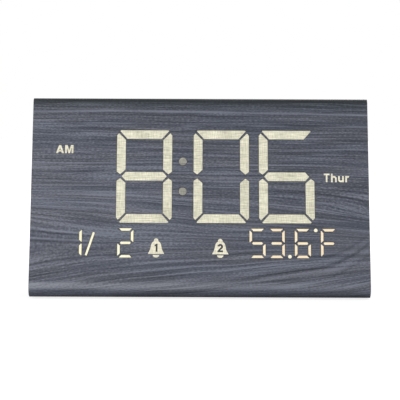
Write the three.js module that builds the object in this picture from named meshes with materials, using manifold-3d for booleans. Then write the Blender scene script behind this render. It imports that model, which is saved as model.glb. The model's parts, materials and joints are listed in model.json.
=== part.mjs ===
// Digital alarm clock: a wedge of wood-grain board whose leaning face lights up with LED digits.
// Millimetres, +Z up, front towards -Y. The origin is on the ground, under the middle of the case.

import * as THREE from 'three';
import { mergeVertices } from 'three/addons/utils/BufferGeometryUtils.js';
import Module from 'manifold-3d';

const wasm = await Module();
wasm.setup();

// Case
const CASE_DEPTH = 56;
const FACE_LEAN = THREE.MathUtils.degToRad(15);
const SIDE_MARGIN = 11;
const FACE_MARGIN = 14.55;
const BOTTOM_RADIUS = 6;
const TOP_RADIUS = 4;
const WALL = 5;
const INNER_RADIUS = 1;
const END_BOARD = 5;
const FILM = 0.4;
const GLUE = 0.1;
const BLOCK_SIZE = 12;
const BLOCK_LENGTH = 10;

// Feet
const FOOT_HEIGHT = 0.8;
const FOOT_RADIUS = 5;
const FOOT_EDGE = 0.3;
const FOOT_SIDE_INSET = 18;
const FOOT_FRONT_INSET = 20;
const FOOT_REAR_INSET = 8;

// Readout on the face, measured from the middle of its flat part: u to the right, v up the face
const DISPLAY_WIDTH = 188;
const DISPLAY_MARGIN = 3;
const ROW_GAP = 3.5;
const DIGIT_WIDTH = 34.45;
const DIGIT_HEIGHT = 59;
const DIGIT_GAP = 6.25;
const TIME_INSET = 42.03;
const COLON_SPACE = 6.73;
const COLON_PITCH = 19.1;
const COLON_RADIUS = 2.5;
const SMALL_WIDTH = 9.85;
const SMALL_HEIGHT = 18.3;
const SMALL_GAP = 2;
const DATE_INSET = 11.28;
const SLASH_SPACE = 2.05;
const SLASH_LEAN = 4.75;
const SLASH_WIDTH = 1.3;
const SLASH_CUT = 1.95;
const SLASH_DROP = 0.5;
const TEMPERATURE_INSET = 63.35;
const DOT_SPACE = 3.12;
const DOT_RADIUS = 1.15;
const DOT_RISE = 0.9;
const DIGIT_STYLE = {
  stroke: 5.5, barCut: 1.95, barBlunt: 0.5, barTaper: 4.5, endDrop: 1.85, endTaper: 4.4, shoulder: 1.15,
  shoulderDrop: 1.4, tip: 2.25, tipGap: 1.3, tipRise: 1.65, innerRise: 2.95, centreTip: 3.2, centreTaper: 2.5,
};
const SMALL_STYLE = {
  stroke: 1.55, barCut: 1, barBlunt: 0, barTaper: 1.45, endDrop: 1.15, endTaper: 1.4, shoulder: 0.25,
  shoulderDrop: 0.3, tip: 0.3, tipGap: 0.55, tipRise: 0.25, innerRise: 1.25, centreTip: 1.6, centreTaper: 0.6,
};
const WORD_HEIGHT = 6.5;
const HALF_DAY_WIDTH = 12.5;
const HALF_DAY_INSET = 9.6;
const HALF_DAY_DROP = 12.35;
const WEEKDAY_WIDTH = 16.5;
const WEEKDAY_INSET = 9.1;
const WEEKDAY_DROP = 30.15;
const BELL_WIDTH = 11.2;
const BELL_HEIGHT = 13.4;
const BELL_DATE_SPACE = 55.77;
const BELL_TEMPERATURE_SPACE = 17.95;
const BELL_LIFT = 6.1;

// Light unit behind the face
const FLANGE = 5;
const FLANGE_THICK = 2;
const WEB_THICK = 0.8;
const WEB_MARGIN = 1.2;
const LED_BOARD_THICK = 1.6;
const DISPLAY_SCREW_INSET = 14;
const DISPLAY_SCREW_SHANK = 1.1;
const DISPLAY_SCREW_BITE = 3.5;

// Rear cover and its controls
const COVER_INSET = 1;
const COVER_THICK = 2.2;
const COVER_GAP = 0.4;
const BOARD_STANDOFF = 9.2;
const MAIN_BOARD_THICK = 1.6;
const MAIN_BOARD_HEIGHT = 32;
const MAIN_BOARD_LIFT = 79;
const BOARD_EDGE = 9;
const BUTTON_PITCH = 22;
const BUTTON_RADIUS = 3.8;
const BUTTON_TRAVEL = 0.6;
const CAP_FLANGE = 1.4;
const CAP_FLANGE_THICK = 1.2;
const CAP_EDGE = 0.5;
const CAP_DISH = 0.3;
const COLLAR_WALL = 1.2;
const COLLAR_HEIGHT = 2.5;
const SWITCH_SIZE = 6;
const SWITCH_HEIGHT = 3.5;
const PLUNGER_RADIUS = 1.7;
const PLUNGER_REACH = 1.5;
const PLUNGER_DEPTH = 2;
const JACK_SIZE = 9;
const JACK_BORE = 2.75;
const JACK_PIN = 1;
const JACK_FLOOR = 1.2;
const BUZZER_RADIUS = 6;
const BUZZER_HEIGHT = 8.4;
const BUZZER_EDGE = 0.6;
const BUZZER_PORT = 1.5;
const SOUND_HOLE = 0.9;
const SOUND_RING = 3.4;
const SOUND_COUNT = 6;
const CHIP_SIZE = 12;
const CHIP_HEIGHT = 1.6;
const SENSOR_RADIUS = 1.5;
const SENSOR_LENGTH = 4;
const SENSOR_SLOT = 1.4;
const RIBBON_WIDTH = 24;
const RIBBON_THICK = 0.8;
const POST_RADIUS = 3;

// Battery bay
const CELL_COUNT = 3;
const CELL_RADIUS = 5.25;
const CELL_LENGTH = 43.3;
const CELL_EDGE = 0.6;
const NUB_LENGTH = 1.2;
const NUB_RADIUS = 1.9;
const CELL_GAP = 0.5;
const BAY_LIFT = 38;
const CONTACT_SPACE = 3;
const CONTACT_THICK = 0.4;
const TRAY_WALL = 2.8;
const TRAY_FLOOR = 1.6;
const LEDGE = 1.2;
const DOOR_THICK = 2;
const DOOR_SEAT = 0.2;
const TAB_SPACING = 30;
const TAB_WIDTH = 7;
const TAB_THICK = 1.6;
const TAB_REACH = 2.5;
const LATCH_WIDTH = 12;
const LATCH_REACH = 3.5;
const GRIP_RADIUS = 1.2;

// Screws and fits
const SCREW_SHANK = 1.3;
const SCREW_HEAD = 2.6;
const SCREW_HEAD_HEIGHT = 0.9;
const SCREW_LENGTH = 8;
const SCREW_CROWN = 0.5;
const SCREW_POINT = 0.6;
const RECESS_REACH = 1.6;
const RECESS_WIDTH = 0.7;
const RECESS_DEPTH = 0.5;
const CLEAR = 0.3;
const GUIDE_CLEAR = 0.2;
const SLIDE_CLEAR = 0.4;
const ROUND_STEPS = 16;
const BUTTON_STEPS = 18;
const BORE_STEPS = 9;
const ARC_STEPS = 5;
const FILM_STEPS = 9;
const CUT_PAST = 1;

// Sizes that follow from the driving ones
const displayHeight = 2 * DISPLAY_MARGIN + DIGIT_HEIGHT + ROW_GAP + SMALL_HEIGHT;
const caseWidth = DISPLAY_WIDTH + 2 * SIDE_MARGIN;
const faceLength = displayHeight + 2 * FACE_MARGIN;
const sinLean = Math.sin(FACE_LEAN);
const cosLean = Math.cos(FACE_LEAN);
const caseHeight = BOTTOM_RADIUS * (1 + sinLean) + faceLength * cosLean + TOP_RADIUS * (1 - sinLean);
const caseBottom = FOOT_HEIGHT;
const caseTop = FOOT_HEIGHT + caseHeight;
const rearRim = CASE_DEPTH / 2;
const shellInner = FILM + GLUE + WALL;
const boardEnd = caseWidth / 2 - FILM - GLUE;
const innerHalf = boardEnd - END_BOARD;
const innerBottom = caseBottom + shellInner;
const innerTop = caseTop - shellInner;
const faceStart = {
  y: -CASE_DEPTH / 2 + BOTTOM_RADIUS - BOTTOM_RADIUS * cosLean,
  z: caseBottom + BOTTOM_RADIUS * (1 + sinLean),
};
const faceMiddle = {
  y: faceStart.y + (faceLength / 2) * sinLean,
  z: faceStart.z + (faceLength / 2) * cosLean,
};
const reflectorFront = FILM + CLEAR;
const flangeFront = shellInner + CLEAR;
const reflectorBack = flangeFront + FLANGE_THICK;
const ledFront = reflectorBack + CLEAR;
const ledBack = ledFront + LED_BOARD_THICK;
const coverOuter = rearRim - COVER_INSET;
const coverInner = coverOuter - COVER_THICK;
const boardRear = coverInner - BOARD_STANDOFF;
const boardFront = boardRear - MAIN_BOARD_THICK;
const capFlangeRadius = BUTTON_RADIUS + CAP_FLANGE;
const collarInner = capFlangeRadius + SLIDE_CLEAR;
const collarOuter = collarInner + COLLAR_WALL;
const buttonRow = [-1.5, -0.5, 0.5, 1.5].map((step) => step * BUTTON_PITCH);
const rowHalf = 1.5 * BUTTON_PITCH + collarOuter;
const jackX = rowHalf + CUT_PAST + JACK_SIZE / 2;
const buzzerX = -(rowHalf + CUT_PAST + BUZZER_RADIUS);
const boardHalf = Math.max(jackX + JACK_SIZE / 2, BUZZER_RADIUS - buzzerX) + BOARD_EDGE;
const postX = boardHalf - BOARD_EDGE / 2;
const boardBottom = MAIN_BOARD_LIFT - MAIN_BOARD_HEIGHT / 2;
const cellPitch = 2 * CELL_RADIUS + CELL_GAP;
const bayLength = CELL_LENGTH + NUB_LENGTH + 2 * CONTACT_SPACE;
const bayHeight = CELL_COUNT * cellPitch + CELL_GAP;
const cellAxisY = coverInner - CELL_GAP - CLEAR - CELL_RADIUS;
const bayFloor = cellAxisY - CELL_RADIUS - CLEAR;
const doorHalfWidth = bayLength / 2 + LEDGE;
const doorBottom = BAY_LIFT - bayHeight / 2 - LEDGE;
const doorTop = BAY_LIFT + bayHeight / 2 + LEDGE;
const doorInner = coverOuter - DOOR_THICK;
const tabRear = coverInner - SLIDE_CLEAR;
const tabFront = tabRear - TAB_THICK;
const tabSwing = Math.hypot(coverOuter - tabFront, TAB_REACH);

// Solids and cuts

function solid(geometry) {
  const bare = geometry.clone();
  bare.deleteAttribute('normal');
  bare.deleteAttribute('uv');
  const merged = mergeVertices(bare, 1e-4);
  const corners = merged.index.array;
  const triangles = [];
  for (let i = 0; i < corners.length; i += 3) {
    const [a, b, c] = [corners[i], corners[i + 1], corners[i + 2]];
    if (a !== b && b !== c && a !== c) triangles.push(a, b, c);
  }
  return new wasm.Manifold(new wasm.Mesh({
    numProp: 3,
    vertProperties: Float32Array.from(merged.attributes.position.array),
    triVerts: Uint32Array.from(triangles),
  }));
}

function geometryOf(body) {
  const mesh = body.getMesh();
  const geometry = new THREE.BufferGeometry();
  geometry.setAttribute('position', new THREE.BufferAttribute(mesh.vertProperties, 3));
  geometry.setIndex(new THREE.BufferAttribute(mesh.triVerts, 1));
  geometry.computeVertexNormals();
  return geometry;
}

function join(...geometries) {
  return geometries.map(solid).reduce((whole, next) => whole.add(next));
}

function cut(body, ...geometries) {
  return geometries.map(solid).reduce((whole, next) => whole.subtract(next), body);
}

// Box between two corners
function boxBetween([x0, y0, z0], [x1, y1, z1]) {
  const box = new THREE.BoxGeometry(x1 - x0, y1 - y0, z1 - z0);
  return box.translate((x0 + x1) / 2, (y0 + y1) / 2, (z0 + z1) / 2);
}

// Round piece about the Y axis from points [radius, y], rising in y
function revolve(points, steps = ROUND_STEPS) {
  return new THREE.LatheGeometry(points.map(([r, y]) => new THREE.Vector2(r, y)), steps);
}

function rod(radius, y0, y1, steps = BORE_STEPS) {
  return revolve([[0, y0], [radius, y0], [radius, y1], [0, y1]], steps);
}

// Flat outline raised along z
function raise(points, z0, z1) {
  const shape = new THREE.Shape(points.map(([x, y]) => new THREE.Vector2(x, y)));
  const options = { depth: z1 - z0, bevelEnabled: false, curveSegments: ARC_STEPS };
  return new THREE.ExtrudeGeometry(shape, options).translate(0, 0, z0);
}

// Outline in the (y, z) plane carried along x
const alongX = new THREE.Matrix4().makeBasis(
  new THREE.Vector3(0, 1, 0), new THREE.Vector3(0, 0, 1), new THREE.Vector3(1, 0, 0),
);

function carry(shape, x0, x1, steps = ARC_STEPS) {
  const options = { depth: x1 - x0, bevelEnabled: false, curveSegments: steps };
  return new THREE.ExtrudeGeometry(shape, options).applyMatrix4(alongX).translate(x0, 0, 0);
}

// Materials

function finish(color, roughness, metalness = 0) {
  return new THREE.MeshStandardMaterial({ color, roughness, metalness });
}

const film = finish(0x555a67, 0.55);
const fibreboard = finish(0x9a7b58, 0.9);
const blockWood = finish(0xb7976a, 0.85);
const whitePlastic = finish(0xe9e6dc, 0.5);
const litGuide = finish(0xe8e4cd, 0.4);
const boardGreen = finish(0x2c6b45, 0.5);
const chipBlack = finish(0x1b1c1f, 0.45);
const blackPlastic = finish(0x232529, 0.6);
const buttonPlastic = finish(0x2e3136, 0.5);
const steel = finish(0xb9bbbd, 0.35, 1);
const cellJacket = finish(0x3c5a6e, 0.4, 0.3);
const ribbonGrey = finish(0x9fa3a8, 0.6);
const rubber = finish(0x1f2022, 0.85);

const clock = new THREE.Group();

function place(name, body, material, parent = clock) {
  const geometry = body instanceof THREE.BufferGeometry ? body : geometryOf(body);
  const mesh = new THREE.Mesh(geometry, material);
  mesh.name = name;
  parent.add(mesh);
  return mesh;
}

// Case profile: rear bottom edge, forward, up the leaning face and back along the top

function underFace(depth, z) {
  const along = (z - faceStart.z + depth * sinLean) / cosLean;
  return {
    y: faceStart.y + along * sinLean + depth * cosLean,
    z,
  };
}

function profileArcs(offset) {
  const low = Math.max(BOTTOM_RADIUS - offset, INNER_RADIUS);
  const high = Math.max(TOP_RADIUS - offset, INNER_RADIUS);
  const down = -Math.PI / 2;
  const face = -Math.PI - FACE_LEAN;
  const up = -1.5 * Math.PI;
  return [
    { radius: low, centre: underFace(offset + low, caseBottom + offset + low), from: down, to: face },
    { radius: high, centre: underFace(offset + high, caseTop - offset - high), from: face, to: up },
  ];
}

function traceForward(shape, offset) {
  const arcs = profileArcs(offset);
  shape.moveTo(rearRim, caseBottom + offset);
  shape.lineTo(arcs[0].centre.y, caseBottom + offset);
  for (const { radius, centre, from, to } of arcs) {
    shape.absarc(centre.y, centre.z, radius, from, to, true);
  }
  shape.lineTo(rearRim, caseTop - offset);
}

function traceBack(shape, offset) {
  shape.lineTo(rearRim, caseTop - offset);
  for (const { radius, centre, from, to } of profileArcs(offset).reverse()) {
    shape.absarc(centre.y, centre.z, radius, to, from, false);
  }
  shape.lineTo(rearRim, caseBottom + offset);
}

function bandProfile(outer, inner) {
  const shape = new THREE.Shape();
  traceForward(shape, outer);
  traceBack(shape, inner);
  return shape;
}

function endProfile(offset) {
  const shape = new THREE.Shape();
  traceForward(shape, offset);
  return shape;
}

// Frame of the face: x right, y up the face, z out of it, with z = 0 on the film
const face = new THREE.Group();
face.rotation.x = Math.PI / 2 - FACE_LEAN;
face.position.set(0, faceMiddle.y, faceMiddle.z);
face.updateMatrix();
clock.add(face);

function onFace(geometry) {
  return geometry.applyMatrix4(face.matrix);
}

// Readout outlines

const LIT = {
  0: 'abcdef', 1: 'bc', 2: 'abdeg', 3: 'abcdg', 5: 'acdfg', 6: 'acdefg', 8: 'abcdefg', F: 'aefg', ' ': '',
};

// The seven bars of a digit whose lower left corner is at (u, v)
function digit(u, v, width, height, style, sign, bars = 'abcdefg') {
  const { stroke, barCut, barBlunt, endDrop, shoulder, tip, centreTip } = style;
  const middle = height / 2;
  const barInner = barCut + style.barTaper;
  const tipLevel = middle + style.tipGap;
  const centreInner = centreTip + style.centreTaper;
  const mirrored = (points) => points.map(([x, y]) => [width - x, y]).reverse();
  const flipped = (points) => points.map(([x, y]) => [x, height - y]).reverse();
  const barEnd = [[barCut + barBlunt, height], [barInner, height - stroke]];
  if (barBlunt > 0) barEnd.splice(1, 0, [barCut, height - barBlunt]);
  const top = [...barEnd, ...mirrored(barEnd)];
  const upperLeft = [
    [shoulder, height - endDrop], [0, height - endDrop - style.shoulderDrop], [0, tipLevel + style.tipRise],
    [tip, tipLevel], [stroke, tipLevel + style.innerRise], [stroke, height - endDrop - style.endTaper],
  ];
  const centre = [
    [centreTip, middle], [centreInner, middle - stroke / 2],
    [width - centreInner, middle - stroke / 2], [width - centreTip, middle],
    [width - centreInner, middle + stroke / 2], [centreInner, middle + stroke / 2],
  ];
  const outlines = {
    a: top, b: mirrored(upperLeft), c: flipped(mirrored(upperLeft)), d: flipped(top),
    e: flipped(upperLeft), f: upperLeft, g: centre,
  };
  return [...bars].map((bar) => ({
    points: outlines[bar].map(([x, y]) => [u + x, v + y]),
    lit: LIT[sign].includes(bar),
  }));
}

function dot(u, v, radius) {
  const points = [];
  for (let i = 0; i < ROUND_STEPS; i += 1) {
    const turn = (i / ROUND_STEPS) * 2 * Math.PI;
    points.push([u + radius * Math.cos(turn), v + radius * Math.sin(turn)]);
  }
  return { points, lit: true };
}

// Convex outline with every edge moved out by a clearance
function grow(points, clearance) {
  const edges = points.map(([x0, y0], i) => {
    const [x1, y1] = points[(i + 1) % points.length];
    const length = Math.hypot(x1 - x0, y1 - y0);
    const normal = [(y1 - y0) / length, (x0 - x1) / length];
    return { normal, reach: normal[0] * x0 + normal[1] * y0 + clearance };
  });
  return edges.map((edge, i) => {
    const last = edges[(i + edges.length - 1) % edges.length];
    const det = last.normal[0] * edge.normal[1] - last.normal[1] * edge.normal[0];
    return [
      (last.reach * edge.normal[1] - edge.reach * last.normal[1]) / det,
      (edge.reach * last.normal[0] - last.reach * edge.normal[0]) / det,
    ];
  });
}

const timeTop = displayHeight / 2 - DISPLAY_MARGIN;
const timeBottom = timeTop - DIGIT_HEIGHT;
const smallBottom = -displayHeight / 2 + DISPLAY_MARGIN;
const smallTop = smallBottom + SMALL_HEIGHT;
const timePitch = DIGIT_WIDTH + DIGIT_GAP;
const timeLeft = -DISPLAY_WIDTH / 2 + TIME_INSET;
const dateLeft = -DISPLAY_WIDTH / 2 + DATE_INSET;
const temperatureLeft = DISPLAY_WIDTH / 2 - TEMPERATURE_INSET;
const colonU = timeLeft + DIGIT_WIDTH + COLON_SPACE;
const minuteLeft = colonU + COLON_SPACE;
const smallPitch = SMALL_WIDTH + SMALL_GAP;

function timeDigit(left, sign, bars) {
  return digit(left, timeBottom, DIGIT_WIDTH, DIGIT_HEIGHT, DIGIT_STYLE, sign, bars);
}

function smallDigit(left, sign) {
  return digit(left, smallBottom, SMALL_WIDTH, SMALL_HEIGHT, SMALL_STYLE, sign);
}

function slash(left) {
  const low = smallBottom + SLASH_CUT - SLASH_DROP;
  const high = smallTop - SLASH_CUT - SLASH_DROP;
  const right = left + SLASH_LEAN;
  const lean = Math.atan2(SLASH_LEAN, high - low);
  const across = SLASH_WIDTH * Math.cos(lean);
  const fall = SLASH_WIDTH * Math.sin(lean);
  return {
    points: [[left, low], [left + across, low - fall], [right + across, high - fall], [right, high]],
    lit: true,
  };
}

function colonDots() {
  const middle = timeBottom + DIGIT_HEIGHT / 2;
  return [-0.5, 0.5].map((side) => dot(colonU, middle + side * COLON_PITCH, COLON_RADIUS));
}

function dateMarks() {
  const slashLeft = dateLeft + SMALL_WIDTH + SLASH_SPACE;
  const dayLeft = slashLeft + SLASH_LEAN + SLASH_WIDTH + SLASH_SPACE;
  return [
    ...smallDigit(dateLeft, '1'),
    slash(slashLeft),
    ...smallDigit(dayLeft, ' '),
    ...smallDigit(dayLeft + smallPitch, '2'),
  ];
}

function temperatureMarks() {
  const decimalU = temperatureLeft + smallPitch + SMALL_WIDTH + DOT_SPACE;
  const tenthLeft = decimalU + DOT_SPACE;
  const degreeU = tenthLeft + SMALL_WIDTH + DOT_SPACE;
  return [
    ...smallDigit(temperatureLeft, '5'),
    ...smallDigit(temperatureLeft + smallPitch, '3'),
    dot(decimalU, smallBottom + DOT_RISE, DOT_RADIUS),
    ...smallDigit(tenthLeft, '6'),
    dot(degreeU, smallTop - DOT_RISE, DOT_RADIUS),
    ...smallDigit(degreeU + DOT_SPACE, 'F'),
  ];
}

const readouts = [
  { name: 'hour_tens_guide', marks: timeDigit(timeLeft - timePitch, ' ', 'bc') },
  { name: 'hour_units_guide', marks: timeDigit(timeLeft, '8') },
  { name: 'colon_guide', marks: colonDots() },
  { name: 'minute_tens_guide', marks: timeDigit(minuteLeft, '0') },
  { name: 'minute_units_guide', marks: timeDigit(minuteLeft + timePitch, '6') },
  { name: 'date_guide', marks: dateMarks() },
  { name: 'temperature_guide', marks: temperatureMarks() },
];

// Places of the words and bells, each with a light well of its own
const bellV = smallBottom + BELL_LIFT;
const icons = [
  {
    u: -DISPLAY_WIDTH / 2 + HALF_DAY_INSET, v: timeTop - HALF_DAY_DROP,
    width: HALF_DAY_WIDTH, height: WORD_HEIGHT,
  },
  {
    u: DISPLAY_WIDTH / 2 - WEEKDAY_INSET, v: timeTop - WEEKDAY_DROP,
    width: WEEKDAY_WIDTH, height: WORD_HEIGHT,
  },
  { u: dateLeft + BELL_DATE_SPACE, v: bellV, width: BELL_WIDTH, height: BELL_HEIGHT },
  { u: temperatureLeft - BELL_TEMPERATURE_SPACE, v: bellV, width: BELL_WIDTH, height: BELL_HEIGHT },
];

function webOutline(marks, margin) {
  const box = new THREE.Box2();
  for (const { points } of marks) {
    for (const [u, v] of points) box.expandByPoint(new THREE.Vector2(u, v));
  }
  box.expandByScalar(margin);
  const { min, max } = box;
  return [[min.x, min.y], [max.x, min.y], [max.x, max.y], [min.x, max.y]];
}

function centredOutline(width, height, u = 0, v = 0) {
  return [
    [u - width / 2, v - height / 2], [u + width / 2, v - height / 2],
    [u + width / 2, v + height / 2], [u - width / 2, v + height / 2],
  ];
}

// Screws that hold the light unit to the front wall, on the flange ring
const displayScrews = [];
for (const side of [-1, 1]) {
  for (const end of [-1, 1]) {
    displayScrews.push({
      u: side * (DISPLAY_WIDTH / 2 - DISPLAY_SCREW_INSET),
      v: end * (displayHeight / 2 + FLANGE / 2),
    });
  }
}

function faceBore(radius, u, v, z0, z1) {
  return rod(radius, z0, z1).rotateX(Math.PI / 2).translate(u, v, 0);
}

// Film and boards of the case

const litMarks = readouts.flatMap(({ marks }) => marks.filter(({ lit }) => lit));

function wrapFilm() {
  const wrap = solid(carry(bandProfile(0, FILM), -caseWidth / 2, caseWidth / 2, FILM_STEPS));
  const windows = litMarks.map(({ points }) => onFace(raise(grow(points, GUIDE_CLEAR), -CUT_PAST, CUT_PAST)));
  return cut(wrap, ...windows);
}

function caseShell() {
  const shell = solid(carry(bandProfile(FILM + GLUE, shellInner), -innerHalf, innerHalf));
  const opening = centredOutline(DISPLAY_WIDTH + 2 * CLEAR, displayHeight + 2 * CLEAR);
  const window = onFace(raise(opening, -shellInner - CUT_PAST, CUT_PAST));
  const pilots = displayScrews.map(({ u, v }) => onFace(
    faceBore(DISPLAY_SCREW_SHANK + CLEAR, u, v, -flangeFront, -shellInner + DISPLAY_SCREW_BITE + CLEAR),
  ));
  return cut(shell, window, ...pilots);
}

place('veneer_film', wrapFilm(), film);
place('case_shell', caseShell(), fibreboard);

for (const [name, side] of [['left', -1], ['right', 1]]) {
  const skin = [side * caseWidth / 2, side * (caseWidth / 2 - FILM)].sort((a, b) => a - b);
  const board = [side * boardEnd, side * innerHalf].sort((a, b) => a - b);
  place(`${name}_end_film`, carry(endProfile(FILM + GLUE), ...skin), film);
  place(`${name}_end_board`, carry(endProfile(FILM + GLUE), ...board), fibreboard);
}

// Corners of the rear opening, where glued blocks take the cover screws
const corners = [];
for (const z of [innerBottom, innerTop]) {
  for (const side of [-1, 1]) {
    const inwards = z === innerBottom ? 1 : -1;
    corners.push({
      x: side * (innerHalf - BLOCK_SIZE / 2),
      z: z + inwards * BLOCK_SIZE / 2,
    });
  }
}

function cornerBlock({ x, z }) {
  const half = BLOCK_SIZE / 2;
  const block = solid(boxBetween(
    [x - half, coverInner - BLOCK_LENGTH, z - half],
    [x + half, coverInner, z + half],
  ));
  const deepest = coverOuter - SCREW_LENGTH - CLEAR;
  return cut(block, rod(SCREW_SHANK + CLEAR, deepest, coverInner + CUT_PAST).translate(x, 0, z));
}

corners.forEach((corner, i) => place(`corner_block_${i + 1}`, cornerBlock(corner), blockWood));

// Plain screw along Y with its tip at y = 0
function screw(shank, length) {
  const top = length + SCREW_HEAD_HEIGHT;
  return revolve([
    [0, 0], [shank, 0], [shank, length], [SCREW_HEAD, length], [SCREW_HEAD, top], [0, top],
  ], BORE_STEPS);
}

// Screw with a pointed shank, a crowned head and a crossed recess
function crossScrew(shank, length) {
  const top = length + SCREW_HEAD_HEIGHT;
  const body = revolve([
    [0, 0], [shank - SCREW_POINT, 0], [shank, SCREW_POINT], [shank, length], [SCREW_HEAD, length],
    [SCREW_HEAD, top - SCREW_CROWN], [SCREW_HEAD - SCREW_CROWN, top], [0, top],
  ]);
  const floor = top - RECESS_DEPTH;
  const past = top + CUT_PAST;
  const half = RECESS_WIDTH / 2;
  const across = boxBetween([-RECESS_REACH, floor, -half], [RECESS_REACH, past, half]);
  const upright = boxBetween([-half, floor, -RECESS_REACH], [half, past, RECESS_REACH]);
  return cut(solid(body), across, upright);
}

corners.forEach(({ x, z }, i) => {
  const mesh = place(`rear_screw_${i + 1}`, crossScrew(SCREW_SHANK, SCREW_LENGTH), steel);
  mesh.position.set(x, coverOuter - SCREW_LENGTH, z);
});

// Light unit: reflector with a well behind every bar, light guides standing in the wells, LED board

function reflector() {
  const body = raise(centredOutline(DISPLAY_WIDTH, displayHeight), -reflectorBack, -reflectorFront);
  const flange = raise(
    centredOutline(DISPLAY_WIDTH + 2 * FLANGE, displayHeight + 2 * FLANGE), -reflectorBack, -flangeFront,
  );
  const wells = readouts.flatMap(({ marks }) => marks.map(
    ({ points }) => raise(grow(points, CLEAR), -reflectorBack - CUT_PAST, CUT_PAST),
  ));
  const recesses = readouts.map(({ marks }) => raise(
    webOutline(marks, WEB_MARGIN + CLEAR), -reflectorBack - CUT_PAST, -reflectorBack + WEB_THICK + CLEAR,
  ));
  const iconWells = icons.map(({ u, v, width, height }) => raise(
    centredOutline(width, height, u, v), -reflectorBack - CUT_PAST, CUT_PAST,
  ));
  const holes = displayScrews.map(({ u, v }) => faceBore(
    DISPLAY_SCREW_SHANK + CLEAR, u, v, -reflectorBack - CUT_PAST, -flangeFront + CUT_PAST,
  ));
  return cut(join(body, flange), ...wells, ...recesses, ...iconWells, ...holes);
}

function lightGuide(marks) {
  const web = raise(webOutline(marks, WEB_MARGIN), -reflectorBack, -reflectorBack + WEB_THICK);
  const bars = marks.map(({ points, lit }) => raise(points, -reflectorBack, lit ? 0 : -reflectorFront));
  return join(web, ...bars);
}

function ledBoard() {
  const outline = centredOutline(DISPLAY_WIDTH + 2 * FLANGE, displayHeight + 2 * FLANGE);
  const holes = displayScrews.map(({ u, v }) => faceBore(
    DISPLAY_SCREW_SHANK + CLEAR, u, v, -ledBack - CUT_PAST, -ledFront + CUT_PAST,
  ));
  return cut(solid(raise(outline, -ledBack, -ledFront)), ...holes);
}

place('display_reflector', reflector(), whitePlastic, face);
for (const { name, marks } of readouts) place(name, lightGuide(marks), litGuide, face);
place('led_board', ledBoard(), boardGreen, face);

displayScrews.forEach(({ u, v }, i) => {
  const length = ledBack + CLEAR - shellInner + DISPLAY_SCREW_BITE;
  const mesh = place(`display_screw_${i + 1}`, screw(DISPLAY_SCREW_SHANK, length), steel, face);
  mesh.rotation.x = -Math.PI / 2;
  mesh.position.set(u, v, -ledBack - CLEAR + length);
});

// Control board on posts of the rear cover, with its switches, socket, buzzer and sensor

const buttonZ = MAIN_BOARD_LIFT + MAIN_BOARD_HEIGHT / 8;
const sensorX = buzzerX;
const posts = [-postX, postX];

function mainBoard() {
  const board = solid(boxBetween(
    [-boardHalf, boardFront, boardBottom],
    [boardHalf, boardRear, boardBottom + MAIN_BOARD_HEIGHT],
  ));
  const holes = posts.map((x) => rod(DISPLAY_SCREW_SHANK + CLEAR, boardFront - CUT_PAST, boardRear + CUT_PAST)
    .translate(x, 0, MAIN_BOARD_LIFT));
  return cut(board, ...holes);
}

place('main_board', mainBoard(), boardGreen);

posts.forEach((x, i) => {
  const length = MAIN_BOARD_THICK + BOARD_STANDOFF / 2;
  const mesh = place(`board_screw_${i + 1}`, screw(DISPLAY_SCREW_SHANK, length), steel);
  mesh.rotation.z = Math.PI;
  mesh.position.set(x, boardFront + length, MAIN_BOARD_LIFT);
});

const switchRear = boardRear + SWITCH_HEIGHT;
const plungerEnd = switchRear + PLUNGER_REACH;

function switchBody(x) {
  const half = SWITCH_SIZE / 2;
  const body = solid(boxBetween(
    [x - half, boardRear, buttonZ - half],
    [x + half, switchRear, buttonZ + half],
  ));
  const floor = switchRear - PLUNGER_DEPTH - BUTTON_TRAVEL - CLEAR;
  return cut(body, rod(PLUNGER_RADIUS + CLEAR, floor, switchRear + CUT_PAST).translate(x, 0, buttonZ));
}

function buttonCap() {
  const flangeRear = coverInner - CLEAR;
  const flangeFrontFace = flangeRear - CAP_FLANGE_THICK;
  const stem = PLUNGER_RADIUS + CLEAR;
  return revolve([
    [0, plungerEnd], [stem, plungerEnd], [stem, flangeFrontFace], [capFlangeRadius, flangeFrontFace],
    [capFlangeRadius, flangeRear], [BUTTON_RADIUS, flangeRear], [BUTTON_RADIUS, rearRim - CAP_EDGE],
    [BUTTON_RADIUS - CAP_EDGE, rearRim], [BUTTON_RADIUS / 2, rearRim - CAP_DISH * 0.75],
    [0, rearRim - CAP_DISH],
  ], BUTTON_STEPS);
}

buttonRow.forEach((x, i) => {
  place(`switch_body_${i + 1}`, switchBody(x), chipBlack);
  const plunger = rod(PLUNGER_RADIUS, switchRear - PLUNGER_DEPTH, plungerEnd).translate(x, 0, buttonZ);
  place(`switch_plunger_${i + 1}`, plunger, buttonPlastic);
  place(`button_${i + 1}`, buttonCap().translate(x, 0, buttonZ), buttonPlastic);
});

function powerSocket() {
  const half = JACK_SIZE / 2;
  const mouth = coverInner - CLEAR;
  const floor = boardRear + JACK_FLOOR;
  const shell = solid(boxBetween(
    [jackX - half, boardRear, buttonZ - half],
    [jackX + half, mouth, buttonZ + half],
  ));
  const bore = rod(JACK_BORE, floor, mouth + CUT_PAST, ROUND_STEPS).translate(jackX, 0, buttonZ);
  const pin = rod(JACK_PIN, boardRear + JACK_FLOOR / 2, mouth - JACK_PIN);
  return cut(shell, bore).add(solid(pin.translate(jackX, 0, buttonZ)));
}

function buzzer() {
  const top = boardRear + BUZZER_HEIGHT;
  return revolve([
    [0, boardRear], [BUZZER_RADIUS, boardRear], [BUZZER_RADIUS, top - BUZZER_EDGE],
    [BUZZER_RADIUS - BUZZER_EDGE, top], [BUZZER_PORT, top], [BUZZER_PORT, top - BUZZER_PORT],
    [0, top - BUZZER_PORT],
  ]).translate(buzzerX, 0, MAIN_BOARD_LIFT);
}

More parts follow.
